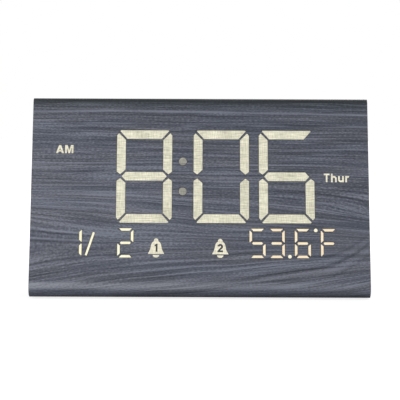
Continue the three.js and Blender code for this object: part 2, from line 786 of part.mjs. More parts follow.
function temperatureSensor() {
  const top = boardBottom - CLEAR;
  const bottom = top - SENSOR_LENGTH;
  const bead = revolve([
    [0, bottom], [SENSOR_RADIUS * 0.7, bottom + SENSOR_RADIUS * 0.3], [SENSOR_RADIUS, bottom + SENSOR_RADIUS],
    [SENSOR_RADIUS, top - CLEAR], [SENSOR_RADIUS * 0.7, top], [0, top],
  ], BORE_STEPS).rotateX(Math.PI / 2).translate(sensorX, boardRear + SENSOR_RADIUS * 0.7, 0);
  const legs = [-1, 1].map((side) => {
    const x = sensorX + side * SENSOR_RADIUS * 0.4;
    return boxBetween(
      [x - CLEAR, boardRear, top - SENSOR_RADIUS],
      [x + CLEAR, boardRear + 2 * CLEAR, boardBottom + SENSOR_LENGTH],
    );
  });
  return join(bead, ...legs);
}

// Flat cable from the LED board to the control board, bent once each way
function ribbonCable() {
  const startZ = MAIN_BOARD_LIFT - MAIN_BOARD_HEIGHT / 8;
  const start = underFace(ledBack + CLEAR, startZ);
  const end = { y: boardFront - CLEAR, z: startZ - MAIN_BOARD_HEIGHT / 4 };
  const pull = (end.y - start.y) / 2;
  const curve = new THREE.CubicBezierCurve(
    new THREE.Vector2(start.y, start.z),
    new THREE.Vector2(start.y + pull * cosLean, start.z - pull * sinLean),
    new THREE.Vector2(end.y - pull, end.z),
    new THREE.Vector2(end.y, end.z),
  );
  const sides = [[], []];
  for (let i = 0; i <= ARC_STEPS; i += 1) {
    const point = curve.getPoint(i / ARC_STEPS);
    const along = curve.getTangent(i / ARC_STEPS);
    const half = new THREE.Vector2(-along.y, along.x).multiplyScalar(RIBBON_THICK / 2);
    sides[0].push(point.clone().sub(half));
    sides[1].unshift(point.clone().add(half));
  }
  return carry(new THREE.Shape(sides.flat()), -RIBBON_WIDTH / 2, RIBBON_WIDTH / 2);
}

function controlChip() {
  const half = CHIP_SIZE / 2;
  const chipZ = MAIN_BOARD_LIFT + MAIN_BOARD_HEIGHT / 8;
  const draft = CHIP_HEIGHT / 8;
  const shape = new THREE.Shape(centredOutline(CHIP_SIZE - 2 * draft, CHIP_SIZE - 2 * draft)
    .map(([x, y]) => new THREE.Vector2(x, y)));
  const options = {
    depth: CHIP_HEIGHT - 2 * draft, bevelSegments: 1, bevelSize: draft, bevelThickness: draft,
  };
  const chip = new THREE.ExtrudeGeometry(shape, options).translate(0, 0, draft);
  return chip.rotateX(Math.PI / 2).translate(-RIBBON_WIDTH / 2 - half - CHIP_SIZE, boardFront, chipZ);
}

place('power_socket', powerSocket(), chipBlack);
place('buzzer', buzzer(), chipBlack);
place('temperature_sensor', temperatureSensor(), chipBlack);
place('ribbon_cable', ribbonCable(), ribbonGrey);
place('control_chip', controlChip(), chipBlack);

// Rear cover: plate with button guides, board posts and a battery tray moulded on

const tabs = [-TAB_SPACING / 2, TAB_SPACING / 2];

function coverHoles() {
  const through = (radius, x, z, steps) => rod(radius, coverInner - CUT_PAST, coverOuter + CUT_PAST, steps)
    .translate(x, 0, z);
  const sound = [through(SOUND_HOLE, buzzerX, MAIN_BOARD_LIFT)];
  for (let i = 0; i < SOUND_COUNT; i += 1) {
    const turn = (i / SOUND_COUNT) * 2 * Math.PI;
    const x = buzzerX + SOUND_RING * Math.cos(turn);
    const z = MAIN_BOARD_LIFT + SOUND_RING * Math.sin(turn);
    sound.push(through(SOUND_HOLE, x, z));
  }
  const sensorSlots = [-1, 0, 1].map((step) => {
    const slotZ = boardBottom - SENSOR_LENGTH / 2 + 2 * step * SENSOR_SLOT;
    return boxBetween(
      [sensorX - SENSOR_LENGTH, coverInner - CUT_PAST, slotZ - SENSOR_SLOT / 2],
      [sensorX + SENSOR_LENGTH, coverOuter + CUT_PAST, slotZ + SENSOR_SLOT / 2],
    );
  });
  return [
    ...buttonRow.map((x) => through(BUTTON_RADIUS + SLIDE_CLEAR, x, buttonZ, BUTTON_STEPS)),
    through(JACK_BORE + SLIDE_CLEAR, jackX, buttonZ, ROUND_STEPS),
    ...corners.map(({ x, z }) => through(SCREW_SHANK + CLEAR, x, z)),
    ...sound,
    ...sensorSlots,
  ];
}

function doorOpening() {
  const plate = boxBetween(
    [-doorHalfWidth - SLIDE_CLEAR, coverInner, doorBottom - SLIDE_CLEAR],
    [doorHalfWidth + SLIDE_CLEAR, coverOuter + CUT_PAST, doorTop + SLIDE_CLEAR],
  );
  const latch = boxBetween(
    [-LATCH_WIDTH / 2 - SLIDE_CLEAR, coverInner - CUT_PAST, doorTop],
    [LATCH_WIDTH / 2 + SLIDE_CLEAR, coverOuter + CUT_PAST, doorTop + LATCH_REACH + SLIDE_CLEAR],
  );
  const bay = boxBetween(
    [-bayLength / 2, bayFloor, BAY_LIFT - bayHeight / 2],
    [bayLength / 2, coverOuter, BAY_LIFT + bayHeight / 2],
  );
  const notches = tabs.map((x) => boxBetween(
    [x - TAB_WIDTH / 2 - SLIDE_CLEAR, coverOuter - tabSwing - SLIDE_CLEAR, doorBottom - TRAY_WALL],
    [x + TAB_WIDTH / 2 + SLIDE_CLEAR, coverInner, doorBottom + LEDGE + CUT_PAST],
  ));
  return [plate, latch, bay, ...notches];
}

function rearCover() {
  const plate = boxBetween(
    [-innerHalf + COVER_GAP, coverInner, innerBottom + COVER_GAP],
    [innerHalf - COVER_GAP, coverOuter, innerTop - COVER_GAP],
  );
  const tray = boxBetween(
    [-bayLength / 2 - TRAY_WALL, bayFloor - TRAY_FLOOR, BAY_LIFT - bayHeight / 2 - TRAY_WALL],
    [bayLength / 2 + TRAY_WALL, coverInner + COVER_THICK / 2, BAY_LIFT + bayHeight / 2 + TRAY_WALL],
  );
  const collars = buttonRow.map((x) => revolve([
    [collarInner, coverInner - COLLAR_HEIGHT], [collarOuter, coverInner - COLLAR_HEIGHT],
    [collarOuter, coverInner + COVER_THICK / 2], [collarInner, coverInner + COVER_THICK / 2],
    [collarInner, coverInner - COLLAR_HEIGHT],
  ], BUTTON_STEPS).translate(x, 0, buttonZ));
  const stands = posts.map((x) => rod(POST_RADIUS, boardRear, coverInner + COVER_THICK / 2)
    .translate(x, 0, MAIN_BOARD_LIFT));
  const pilots = posts.map((x) => rod(
    DISPLAY_SCREW_SHANK + CLEAR, boardRear - CUT_PAST, boardRear + BOARD_STANDOFF / 2 + CLEAR,
  ).translate(x, 0, MAIN_BOARD_LIFT));
  return cut(join(plate, tray, ...collars, ...stands), ...pilots, ...doorOpening(), ...coverHoles());
}

place('rear_cover', rearCover(), blackPlastic);

// Battery door: hooked in at its lower edge by two tabs, with a thumb latch on top
function batteryDoor() {
  const panel = boxBetween([-doorHalfWidth, doorInner, doorBottom], [doorHalfWidth, coverOuter, doorTop]);
  const latch = boxBetween(
    [-LATCH_WIDTH / 2, doorInner, doorTop - CUT_PAST],
    [LATCH_WIDTH / 2, coverOuter, doorTop + LATCH_REACH],
  );
  const hooks = tabs.flatMap((x) => [
    boxBetween(
      [x - TAB_WIDTH / 2, tabFront, doorBottom],
      [x + TAB_WIDTH / 2, doorInner + DOOR_SEAT, doorBottom + TAB_THICK],
    ),
    boxBetween(
      [x - TAB_WIDTH / 2, tabFront, doorBottom - TAB_REACH],
      [x + TAB_WIDTH / 2, tabRear, doorBottom + TAB_THICK],
    ),
  ]);
  const grips = [0, 1].map((step) => rod(GRIP_RADIUS, -LATCH_WIDTH / 2 + CUT_PAST, LATCH_WIDTH / 2 - CUT_PAST)
    .rotateZ(Math.PI / 2)
    .translate(0, coverOuter + GRIP_RADIUS / 2, doorTop - LATCH_REACH * step));
  return cut(join(panel, latch, ...hooks), ...grips);
}

place('battery_door', batteryDoor(), blackPlastic);

// Cells lie across the bay and point alternately right and left

function cell(lift, facing) {
  const half = (CELL_LENGTH + NUB_LENGTH) / 2;
  const shoulder = half - NUB_LENGTH;
  const body = revolve([
    [0, -half], [CELL_RADIUS - CELL_EDGE, -half], [CELL_RADIUS, CELL_EDGE - half],
    [CELL_RADIUS, shoulder - CELL_EDGE], [CELL_RADIUS - CELL_EDGE, shoulder],
    [NUB_RADIUS, shoulder], [NUB_RADIUS, half], [0, half],
  ], BUTTON_STEPS);
  return body.rotateZ(-facing * Math.PI / 2).translate(0, cellAxisY, lift);
}

// Strip contact against an end wall of the bay, with a sprung leaf for each cell that it serves
function contact(side, lifts) {
  const wall = bayLength / 2 - CLEAR;
  const half = CELL_RADIUS * 0.7;
  const reach = CONTACT_SPACE - 2 * CLEAR;
  const leaf = (lift) => {
    const shape = new THREE.Shape();
    const gap = new THREE.Path();
    const front = wall - CONTACT_THICK;
    shape.moveTo(wall, lift - half);
    shape.lineTo(wall, lift + half);
    shape.lineTo(front, lift + half);
    shape.quadraticCurveTo(wall + CONTACT_THICK - 2 * reach, lift, front, lift - half);
    gap.moveTo(front, lift - half + 2 * CONTACT_THICK);
    gap.quadraticCurveTo(front + 4 * CONTACT_THICK - 2 * reach, lift, front, lift + half - 2 * CONTACT_THICK);
    shape.holes.push(gap);
    return shape;
  };
  const options = { depth: 2 * half, bevelEnabled: false, curveSegments: ARC_STEPS };
  const strips = lifts.map((lift) => new THREE.ExtrudeGeometry(leaf(lift), options));
  const low = Math.min(...lifts);
  const high = Math.max(...lifts);
  if (high > low) {
    const middle = [wall - CONTACT_THICK / 2, (low + high) / 2];
    strips.push(raise(centredOutline(CONTACT_THICK, high - low, ...middle), 0, 2 * half));
  }
  return geometryOf(join(...strips))
    .translate(0, 0, -half)
    .rotateX(Math.PI / 2)
    .rotateZ(side > 0 ? 0 : Math.PI)
    .translate(0, cellAxisY, 0);
}

const cellLifts = [1, 0, -1].map((step) => BAY_LIFT + step * cellPitch);
cellLifts.forEach((lift, i) => place(`battery_cell_${i + 1}`, cell(lift, i % 2 ? -1 : 1), cellJacket));
place('negative_contact', contact(-1, [cellLifts[0]]), steel);
place('bridge_contact_1', contact(1, [cellLifts[0], cellLifts[1]]), steel);
place('bridge_contact_2', contact(-1, [cellLifts[1], cellLifts[2]]), steel);
place('positive_contact', contact(1, [cellLifts[2]]), steel);

// Feet glued under the bottom film

function foot(x, y) {
  const pad = revolve([
    [0, 0], [FOOT_RADIUS - FOOT_EDGE, 0], [FOOT_RADIUS, FOOT_EDGE], [FOOT_RADIUS, FOOT_HEIGHT],
    [0, FOOT_HEIGHT],
  ]);
  return pad.rotateX(Math.PI / 2).translate(x, y, 0);
}

const footX = caseWidth / 2 - FOOT_SIDE_INSET;
const footRows = [FOOT_FRONT_INSET - CASE_DEPTH / 2, CASE_DEPTH / 2 - FOOT_REAR_INSET];
footRows.forEach((y, row) => [-footX, footX].forEach((x, column) => {
  place(`foot_${2 * row + column + 1}`, foot(x, y), rubber);
}));

export default clock;
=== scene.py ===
"""Studio scene of the digital alarm clock: finishes, lit signs, camera, floor and light."""

import json
import math

import bmesh
import bpy
from mathutils import Matrix, Vector


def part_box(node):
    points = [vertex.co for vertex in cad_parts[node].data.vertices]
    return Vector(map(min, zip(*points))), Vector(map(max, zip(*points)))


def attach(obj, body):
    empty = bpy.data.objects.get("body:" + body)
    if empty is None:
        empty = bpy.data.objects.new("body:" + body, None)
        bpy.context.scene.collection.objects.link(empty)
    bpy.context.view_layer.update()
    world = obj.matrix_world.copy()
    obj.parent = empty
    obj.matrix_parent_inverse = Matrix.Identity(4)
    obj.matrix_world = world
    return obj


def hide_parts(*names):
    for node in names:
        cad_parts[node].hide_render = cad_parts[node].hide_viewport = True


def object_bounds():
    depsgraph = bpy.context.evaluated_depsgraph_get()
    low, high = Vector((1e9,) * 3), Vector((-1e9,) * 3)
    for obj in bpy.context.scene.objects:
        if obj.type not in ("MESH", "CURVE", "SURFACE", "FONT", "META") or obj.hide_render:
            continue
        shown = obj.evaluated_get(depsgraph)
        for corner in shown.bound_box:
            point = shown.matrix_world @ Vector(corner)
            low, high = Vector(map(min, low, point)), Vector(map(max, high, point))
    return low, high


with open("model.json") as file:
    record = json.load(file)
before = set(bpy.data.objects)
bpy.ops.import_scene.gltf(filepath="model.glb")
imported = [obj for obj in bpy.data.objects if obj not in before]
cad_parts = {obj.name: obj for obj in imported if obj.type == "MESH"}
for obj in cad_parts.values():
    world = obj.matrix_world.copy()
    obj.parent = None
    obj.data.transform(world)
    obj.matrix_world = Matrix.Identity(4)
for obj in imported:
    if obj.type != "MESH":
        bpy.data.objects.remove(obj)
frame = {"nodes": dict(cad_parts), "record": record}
cad_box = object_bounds()

MM = 0.001
SCENE = bpy.context.scene

# The case in millimetres, and the plane of its leaning face
HALF_WIDTH = cad_box[1].x / MM
CASE_TOP = cad_box[1].z / MM
TOP_FRONT = 6.1
COVER_FACE = 27.0
LEAN = math.radians(15)
FACE_Y, FACE_Z = -12.797, 64.328
FACE = Matrix.Translation((0, FACE_Y * MM, FACE_Z * MM)) @ Matrix.Rotation(math.pi / 2 - LEAN, 4, "X")

# Materials


def srgb(red, green, blue):
    """Linear colour of an sRGB triple in 0 to 255."""
    levels = [value / 255 for value in (red, green, blue)]
    return (*[v / 12.92 if v <= 0.04045 else ((v + 0.055) / 1.055) ** 2.4 for v in levels], 1.0)


def dim(colour, share):
    """The same colour with part of its light."""
    return (*[level * share for level in colour[:3]], 1.0)


def feed(tree, socket, value):
    """Gives a socket its value, which is a plain one or comes from another socket."""
    if isinstance(value, bpy.types.NodeSocket):
        tree.links.new(value, socket)
    else:
        socket.default_value = value


class Finish:
    """A node material in the making. Its coordinates are millimetres in the clock's frame."""

    def __init__(self, name, roughness=0.5, metallic=0.0):
        self.material = bpy.data.materials.new(name)
        self.material.use_nodes = True
        self.tree = self.material.node_tree
        self.shader = self.tree.nodes["Principled BSDF"]
        self.set(Roughness=roughness, Metallic=metallic)
        scale = self.add("ShaderNodeVectorMath", operation="SCALE")
        scale.inputs["Scale"].default_value = 1 / MM
        self.feed(scale.inputs[0], self.add("ShaderNodeTexCoord").outputs["Object"])
        self.place = scale.outputs[0]
        parts = self.add("ShaderNodeSeparateXYZ")
        self.feed(parts.inputs[0], self.place)
        self.x, self.y, self.z = parts.outputs

    def add(self, kind, **settings):
        node = self.tree.nodes.new(kind)
        for key, value in settings.items():
            setattr(node, key, value)
        return node

    def feed(self, socket, value):
        feed(self.tree, socket, value)

    def set(self, **values):
        """Sets sockets of the shader by their names, with _ in place of spaces."""
        for key, value in values.items():
            self.feed(self.shader.inputs[key.replace("_", " ")], value)

    def math(self, operation, *values):
        node = self.add("ShaderNodeMath", operation=operation)
        for socket, value in zip(node.inputs, values):
            self.feed(socket, value)
        return node.outputs[0]

    def total(self, *terms):
        """Sum of (weight, socket) terms."""
        result = 0.0
        for weight, socket in terms:
            result = self.math("MULTIPLY_ADD", socket, weight, result)
        return result

    def squared_distance(self, first, second, centre):
        """Square of the distance from a centre, in the plane of two coordinates."""
        result = 0.0
        for value, middle in zip((first, second), centre):
            apart = self.math("SUBTRACT", value, middle)
            result = self.math("MULTIPLY_ADD", apart, apart, result)
        return result

    def span(self, value, low, high, start=0.0, end=1.0, smooth=True):
        """Goes from start to end while the value goes from low to high."""
        node = self.add("ShaderNodeMapRange", interpolation_type="SMOOTHSTEP" if smooth else "LINEAR")
        for socket, given in zip(node.inputs, (value, low, high, start, end)):
            self.feed(socket, given)
        return node.outputs[0]

    def vector(self, x, y, z=0.0):
        node = self.add("ShaderNodeCombineXYZ")
        for socket, value in zip(node.inputs, (x, y, z)):
            self.feed(socket, value)
        return node.outputs[0]

    def noise(self, vector, scale=1.0, detail=2.0, roughness=0.5):
        node = self.add("ShaderNodeTexNoise")
        self.feed(node.inputs["Vector"], vector)
        for key, value in {"Scale": scale, "Detail": detail, "Roughness": roughness}.items():
            node.inputs[key].default_value = value
        return node.outputs["Fac"]

    def drawn_noise(self, along, across, length, width, offset=0.0, **settings):
        """Noise drawn out to a length and a width in millimetres, at a place of its own."""
        run = self.math("DIVIDE", along, length)
        rise = self.math("DIVIDE", across, width)
        return self.noise(self.vector(run, rise, offset), **settings)

    def ramp(self, value, *stops):
        node = self.add("ShaderNodeValToRGB")
        elements = node.color_ramp.elements
        elements[0].position, elements[0].color = stops[0]
        elements[1].position, elements[1].color = stops[-1]
        for position, colour in stops[1:-1]:
            elements.new(position).color = colour
        self.feed(node.inputs[0], value)
        return node.outputs["Color"]

    def mix(self, share, first, second, blend="MIX"):
        node = self.add("ShaderNodeMix", data_type="RGBA", blend_type=blend)
        for socket, value in ((node.inputs[0], share), (node.inputs[6], first), (node.inputs[7], second)):
            self.feed(socket, value)
        return node.outputs[2]

    def bump(self, height, depth):
        """Relief of the given depth in millimetres for heights of 0 to 1."""
        node = self.add("ShaderNodeBump")
        node.inputs["Distance"].default_value = depth * MM
        self.feed(node.inputs["Height"], height)
        self.set(Normal=node.outputs[0])


# Wood film. Below GRAIN_LEVEL on the face its lines climb to the right, above it they fall a little,
# and near the top they are almost level. Past CURL_START their slope grows.

GRAIN_LEVEL = -33.0
GRAIN_SPREAD = 24.0
UPPER_GRAIN = 0.6 * GRAIN_SPREAD, 1.8 * GRAIN_SPREAD
LOWER_CLIMB, MIDDLE_FALL, UPPER_FALL = -0.12, 0.1, 0.01
CURL_START = 60.0
END_CURL = 0.012
END_SHIFT = 5.0
TURN_BAND = 0.1
DRIFT, DRIFT_HEIGHT = (95.0, 24.0), 5.0

# Layers of the film: the length and width of their streaks, and their place in the noise
BROAD = 190.0, 6.5, 3.0
MEDIUM = 95.0, 1.9, 11.0
FINE = 42.0, 0.72, 23.0
HAIR = 1.7, 0.55, 67.0
WARMTH = 60.0, 10.0, 91.0

# Shares of the broad, medium, fine and hair layers in the grain, low on the face and high on it
LOW_SHARES = 0.4, 0.45, 0.45, 0.48
HIGH_SHARES = 0.22, 0.3, 0.66, 0.56
HIGH_GRAIN = 45.0

# Tones of the film, with the painted light that the left adds and the painted shade that the middle adds,
# what the top takes away and what a pale patch adds
FILM_TONES = (
    (0.66, srgb(58, 62, 72)), (0.81, srgb(84, 88, 100)),
    (0.93, srgb(110, 114, 126)), (1.0, srgb(132, 136, 150)),
)
COOL_TINT, WARM_TINT = (0.97, 1.0, 1.02, 1.0), (1.03, 1.0, 0.98, 1.0)
PAINTED_LEFT_LIGHT, PAINTED_MIDDLE_SHADE = 0.012, -0.016
TOP_LEVELS, TOP_TONE = (15.0, 45.0), 0.03
PATCH, PATCH_RADIUS, PATCH_TONE = (-36.0, -2.0), 42.43, 0.035
ROUGH_FILM, SMOOTH_FILM = 0.62, 0.46
FILM_RELIEF = 0.1

# Broad strokes low on the right, side by side along a path that climbs and then curls up: the height
# of each above the path, its half width and its tone
STROKES = (0.0, 1.5, -0.15), (-3.8, 2.5, 0.07), (-7.2, 1.2, -0.06), (3.0, 1.5, 0.04), (5.8, 1.3, -0.08)
STROKE_LEVEL, STROKE_CLIMB = -58.0, 0.16
STROKE_CURL_START, STROKE_CURL = 75.0, 0.012
STROKE_WAVE, STROKE_WAVE_HEIGHT = (40.0, 9.0, 5.0), 3.0
STROKE_START, STROKE_END, STROKE_END_SHARE = (5.0, 50.0), (82.0, 103.0), 0.5

# Thin lines along the grain, and one pale line near the top
PALE_LINE, DARK_LINE = srgb(146, 152, 168), srgb(54, 57, 65)
PALE_SPACE, PALE_OFFSET = 4.3, 31.0
DARK_SPACE, DARK_OFFSET = 3.7, 37.0
LINE_WIDTH, LINE_SHARE = 0.42, 0.5
LINE_RUN, BREAK_OFFSET, UNBROKEN = (45.0, 6.0), 5.0, (0.45, 0.58)
WOBBLE, WOBBLE_LENGTH = 0.5, 22.0
TOP_LINE, TOP_LINE_EDGES, TOP_LINE_SHARE = 85.0, (0.2, 1.1), 0.4

# Painted shade over the top bend: the light that the film keeps there, by depths below the top of the
# case
DUSK_DEPTHS, DUSK_LIGHT = (9.5, 3.5), 0.68
BEND_DEPTHS = 4.3, 1.0
BEND_LEFT, BEND_RIGHT, BEND_REAR = 0.2, 0.26, 0.5
BEND_RIGHT_START = 30.0
BEND_REACH = 14.0
BEND_RED, BEND_BLUE = 1.1, 1.06

# Painted highlight above the bottom bend, and painted shade and a painted contact shadow towards the
# ground, by heights above it
HIGHLIGHT_RISE, HIGHLIGHT_FALL = (5.0, 7.4), (8.9, 11.4)
HIGHLIGHT_LEFT, HIGHLIGHT_RIGHT = 0.76, 0.12
HIGHLIGHT_TONES, HIGHLIGHT_LEAST = (0.72, 0.95), 0.4
HIGHLIGHT_COLOUR = srgb(168, 172, 182)
LOW_SHADE_HEIGHTS, LOW_SHADE_LEFT, LOW_SHADE_RIGHT = (1.5, 6.0), 0.1, 0.35
LOW_SHADE_COLOUR = srgb(52, 57, 67)
CONTACT_SHADOW_HEIGHTS, CONTACT_SHADOW_SHARE = (0.5, 1.5), 0.9
CONTACT_SHADOW_COLOUR = srgb(24, 25, 29)


def face_plane(finish):
    """Millimetres behind the plane of the face, and up along it."""
    y = finish.math("SUBTRACT", finish.y, FACE_Y)
    z = finish.math("SUBTRACT", finish.z, FACE_Z)
    behind = finish.total((math.cos(LEAN), y), (-math.sin(LEAN), z))
    return behind, finish.total((math.sin(LEAN), y), (math.cos(LEAN), z))


def wrapped(finish):
    """Millimetres along and across the film that wraps round bottom, face and top."""
    behind, up = face_plane(finish)
    over = (1 - math.sin(LEAN)) / math.cos(LEAN)
    under = -(1 + math.sin(LEAN)) / math.cos(LEAN)
    turn = finish.span(finish.z, FACE_Z - TURN_BAND, FACE_Z + TURN_BAND, under, over, smooth=False)
    return finish.x, finish.math("MULTIPLY_ADD", behind, turn, up)


def upright(finish):
    """Millimetres along and across the film on the ends, whose grain stands up."""
    return finish.z, finish.math("ADD", finish.y, END_SHIFT)


def squared_past(finish, along, start):
    """Square of the millimetres past a start, and 0 before it."""
    past = finish.math("MAXIMUM", finish.math("SUBTRACT", along, start), 0.0)
    return finish.math("MULTIPLY", past, past)


def grain_lines(finish, along, across):
    """Height across the grain, which stays the same along each of its lines."""
    drift = finish.drawn_noise(along, across, *DRIFT)
    level = finish.total((1.0, across), (DRIFT_HEIGHT, drift))
    level = finish.math("SUBTRACT", level, GRAIN_LEVEL + DRIFT_HEIGHT / 2)
    upper = finish.span(level, *UPPER_GRAIN, MIDDLE_FALL, UPPER_FALL)
    slope = finish.span(level, -GRAIN_SPREAD, GRAIN_SPREAD, LOWER_CLIMB, upper)
    run = finish.total((1.0, along), (END_CURL, squared_past(finish, along, CURL_START)))
    return finish.math("MULTIPLY_ADD", run, slope, level)


def broad_strokes(finish, along, across):
    """What the strokes add to the tone."""
    above = finish.total(
        (1.0, across), (-STROKE_CLIMB, along),
        (-STROKE_CURL, squared_past(finish, along, STROKE_CURL_START)),
        (STROKE_WAVE_HEIGHT, finish.drawn_noise(along, across, *STROKE_WAVE)),
    )
    above = finish.math("SUBTRACT", above, STROKE_LEVEL + STROKE_WAVE_HEIGHT / 2)
    result = 0.0
    for height, half, change in STROKES:
        off = finish.math("ABSOLUTE", finish.math("SUBTRACT", above, height))
        result = finish.math("ADD", finish.span(off, 0.2 * half, half, change, 0.0), result)
    result = finish.math("MULTIPLY", result, finish.span(along, *STROKE_START))
    return finish.math("MULTIPLY", result, finish.span(along, *STROKE_END, 1.0, STROKE_END_SHARE))


def across_face(finish, left, right):
    """A value that goes evenly from the left end of the case to the right one."""
    return finish.span(finish.x, -HALF_WIDTH, HALF_WIDTH, left, right, smooth=False)


def top_bend_painted_shade(finish, colour):
    """The film's colour with painted shade over the top bend."""
    front = finish.span(finish.x, -HALF_WIDTH, BEND_RIGHT_START, BEND_LEFT, BEND_RIGHT)
    back = finish.span(finish.y, TOP_FRONT, TOP_FRONT + BEND_REACH, front, BEND_REAR)
    dusk = finish.span(finish.z, *[CASE_TOP - depth for depth in DUSK_DEPTHS], 1.0, DUSK_LIGHT)
    bend = finish.span(finish.z, *[CASE_TOP - depth for depth in BEND_DEPTHS], 1.0, back)
    shade = finish.math("MULTIPLY", dusk, bend)
    red, blue = [finish.math("POWER", shade, power) for power in (BEND_RED, BEND_BLUE)]
    return finish.mix(1.0, colour, finish.vector(red, shade, blue), "MULTIPLY")


def bottom_bend_highlight_and_shade(finish, colour, tone):
    """The film's colour with a painted highlight above the bottom bend and painted shade below it."""
    # Painted highlight where the film starts to turn under, strongest on the left
    rise = finish.span(finish.z, *HIGHLIGHT_RISE)
    highlight = finish.math("MULTIPLY", rise, finish.span(finish.z, *HIGHLIGHT_FALL, 1.0, 0.0))
    highlight = finish.math("MULTIPLY", highlight, across_face(finish, HIGHLIGHT_LEFT, HIGHLIGHT_RIGHT))
    highlight = finish.math("MULTIPLY", highlight, finish.span(tone, *HIGHLIGHT_TONES, HIGHLIGHT_LEAST, 1.0))
    colour = finish.mix(highlight, colour, HIGHLIGHT_COLOUR)
    # Painted shade low on the bend, stronger to the right
    low = across_face(finish, LOW_SHADE_LEFT, LOW_SHADE_RIGHT)
    colour = finish.mix(finish.span(finish.z, *LOW_SHADE_HEIGHTS, low, 0.0, smooth=False), colour, LOW_SHADE_COLOUR)
    # Painted contact shadow along the lowest millimetres
    return finish.mix(finish.span(finish.z, *CONTACT_SHADOW_HEIGHTS, CONTACT_SHADOW_SHARE, 0.0), colour, CONTACT_SHADOW_COLOUR)


def wood_film(name, coordinates, bent):
    """Printed wood grain, which runs along the first of the two coordinates."""
    finish = Finish(name)
    along, across = coordinates(finish)
    lines = grain_lines(finish, along, across)

    def streaks(length, width, offset, **settings):
        return finish.drawn_noise(along, lines, length, width, offset, **settings)

    def thin_lines(space, offset):
        """Thin lines along the grain at uneven spaces, broken here and there."""
        points = finish.add("ShaderNodeTexVoronoi", voronoi_dimensions="1D")
        points.inputs["Scale"].default_value = 1 / space
        run = finish.math("DIVIDE", along, WOBBLE_LENGTH)
        wobble = finish.noise(finish.vector(run, offset), detail=1.0)
        finish.feed(points.inputs["W"], finish.total((1.0, lines), (WOBBLE, wobble)))
        away = finish.math("MULTIPLY", points.outputs["Distance"], space)
        drawn = finish.span(away, 0.3 * LINE_WIDTH, LINE_WIDTH, LINE_SHARE, 0.0)
        unbroken = finish.span(streaks(*LINE_RUN, offset + BREAK_OFFSET), *UNBROKEN)
        return finish.math("MULTIPLY", drawn, unbroken)

    broad, medium, hair = streaks(*BROAD), streaks(*MEDIUM), streaks(*HAIR)
    fine = streaks(*FINE, roughness=0.6)
    layers = broad, medium, fine, hair
    low, high = [finish.total(*zip(shares, layers)) for shares in (LOW_SHARES, HIGH_SHARES)]
    rise = finish.span(lines, 0.0, HIGH_GRAIN)
    tone = finish.math("MULTIPLY_ADD", finish.math("SUBTRACT", high, low), rise, low)
    # Painted light on the left, going over to painted shade from the middle to the right
    tone = finish.math("ADD", tone, finish.span(along, -HALF_WIDTH, 0.0, PAINTED_LEFT_LIGHT, PAINTED_MIDDLE_SHADE))
    tone = finish.math("SUBTRACT", tone, finish.span(across, *TOP_LEVELS, 0.0, TOP_TONE))
    apart = finish.squared_distance(along, across, PATCH)
    tone = finish.math("ADD", tone, finish.span(apart, 0.0, PATCH_RADIUS ** 2, PATCH_TONE, 0.0))
    if bent:
        tone = finish.math("ADD", tone, broad_strokes(finish, along, across))

    tint = finish.mix(finish.span(streaks(*WARMTH), 0.35, 0.65), COOL_TINT, WARM_TINT)
    colour = finish.mix(1.0, finish.ramp(tone, *FILM_TONES), tint, "MULTIPLY")
    colour = finish.mix(thin_lines(PALE_SPACE, PALE_OFFSET), colour, PALE_LINE)
    colour = finish.mix(thin_lines(DARK_SPACE, DARK_OFFSET), colour, DARK_LINE)
    away = finish.math("ABSOLUTE", finish.math("SUBTRACT", lines, TOP_LINE))
    colour = finish.mix(finish.span(away, *TOP_LINE_EDGES, TOP_LINE_SHARE, 0.0), colour, PALE_LINE)
    # Painted shade over the top bend, and a painted highlight and painted shade at the bottom bend
    if bent:
        colour = bottom_bend_highlight_and_shade(finish, top_bend_painted_shade(finish, colour), tone)
    roughness = finish.span(fine, 0.3, 0.7, ROUGH_FILM, SMOOTH_FILM)
    finish.set(Base_Color=colour, Roughness=roughness, Specular_IOR_Level=0.3)
    finish.bump(finish.total((0.6, fine), (0.4, medium)), FILM_RELIEF)
    return finish.material


# Lit plastic. The threads over it have a length and a width, and the warp has a place of its own in
# the noise. Depths are behind the plane of the face.

FIBRE = 16.0, 0.8
WEFT = 6.0, 0.62
WARP = 0.62, 5.0, 7.0
WEAVE_CONTRAST = 1.55
FRONT_DEPTHS = 0.03, 0.06
SUNK_DEPTHS = 1.0, 1.1
# Painted shade for the guides' sides in the gap beside the film
GUIDE_SIDE_SHADE = srgb(30, 30, 34)
BLACK = (0.0, 0.0, 0.0, 1.0)


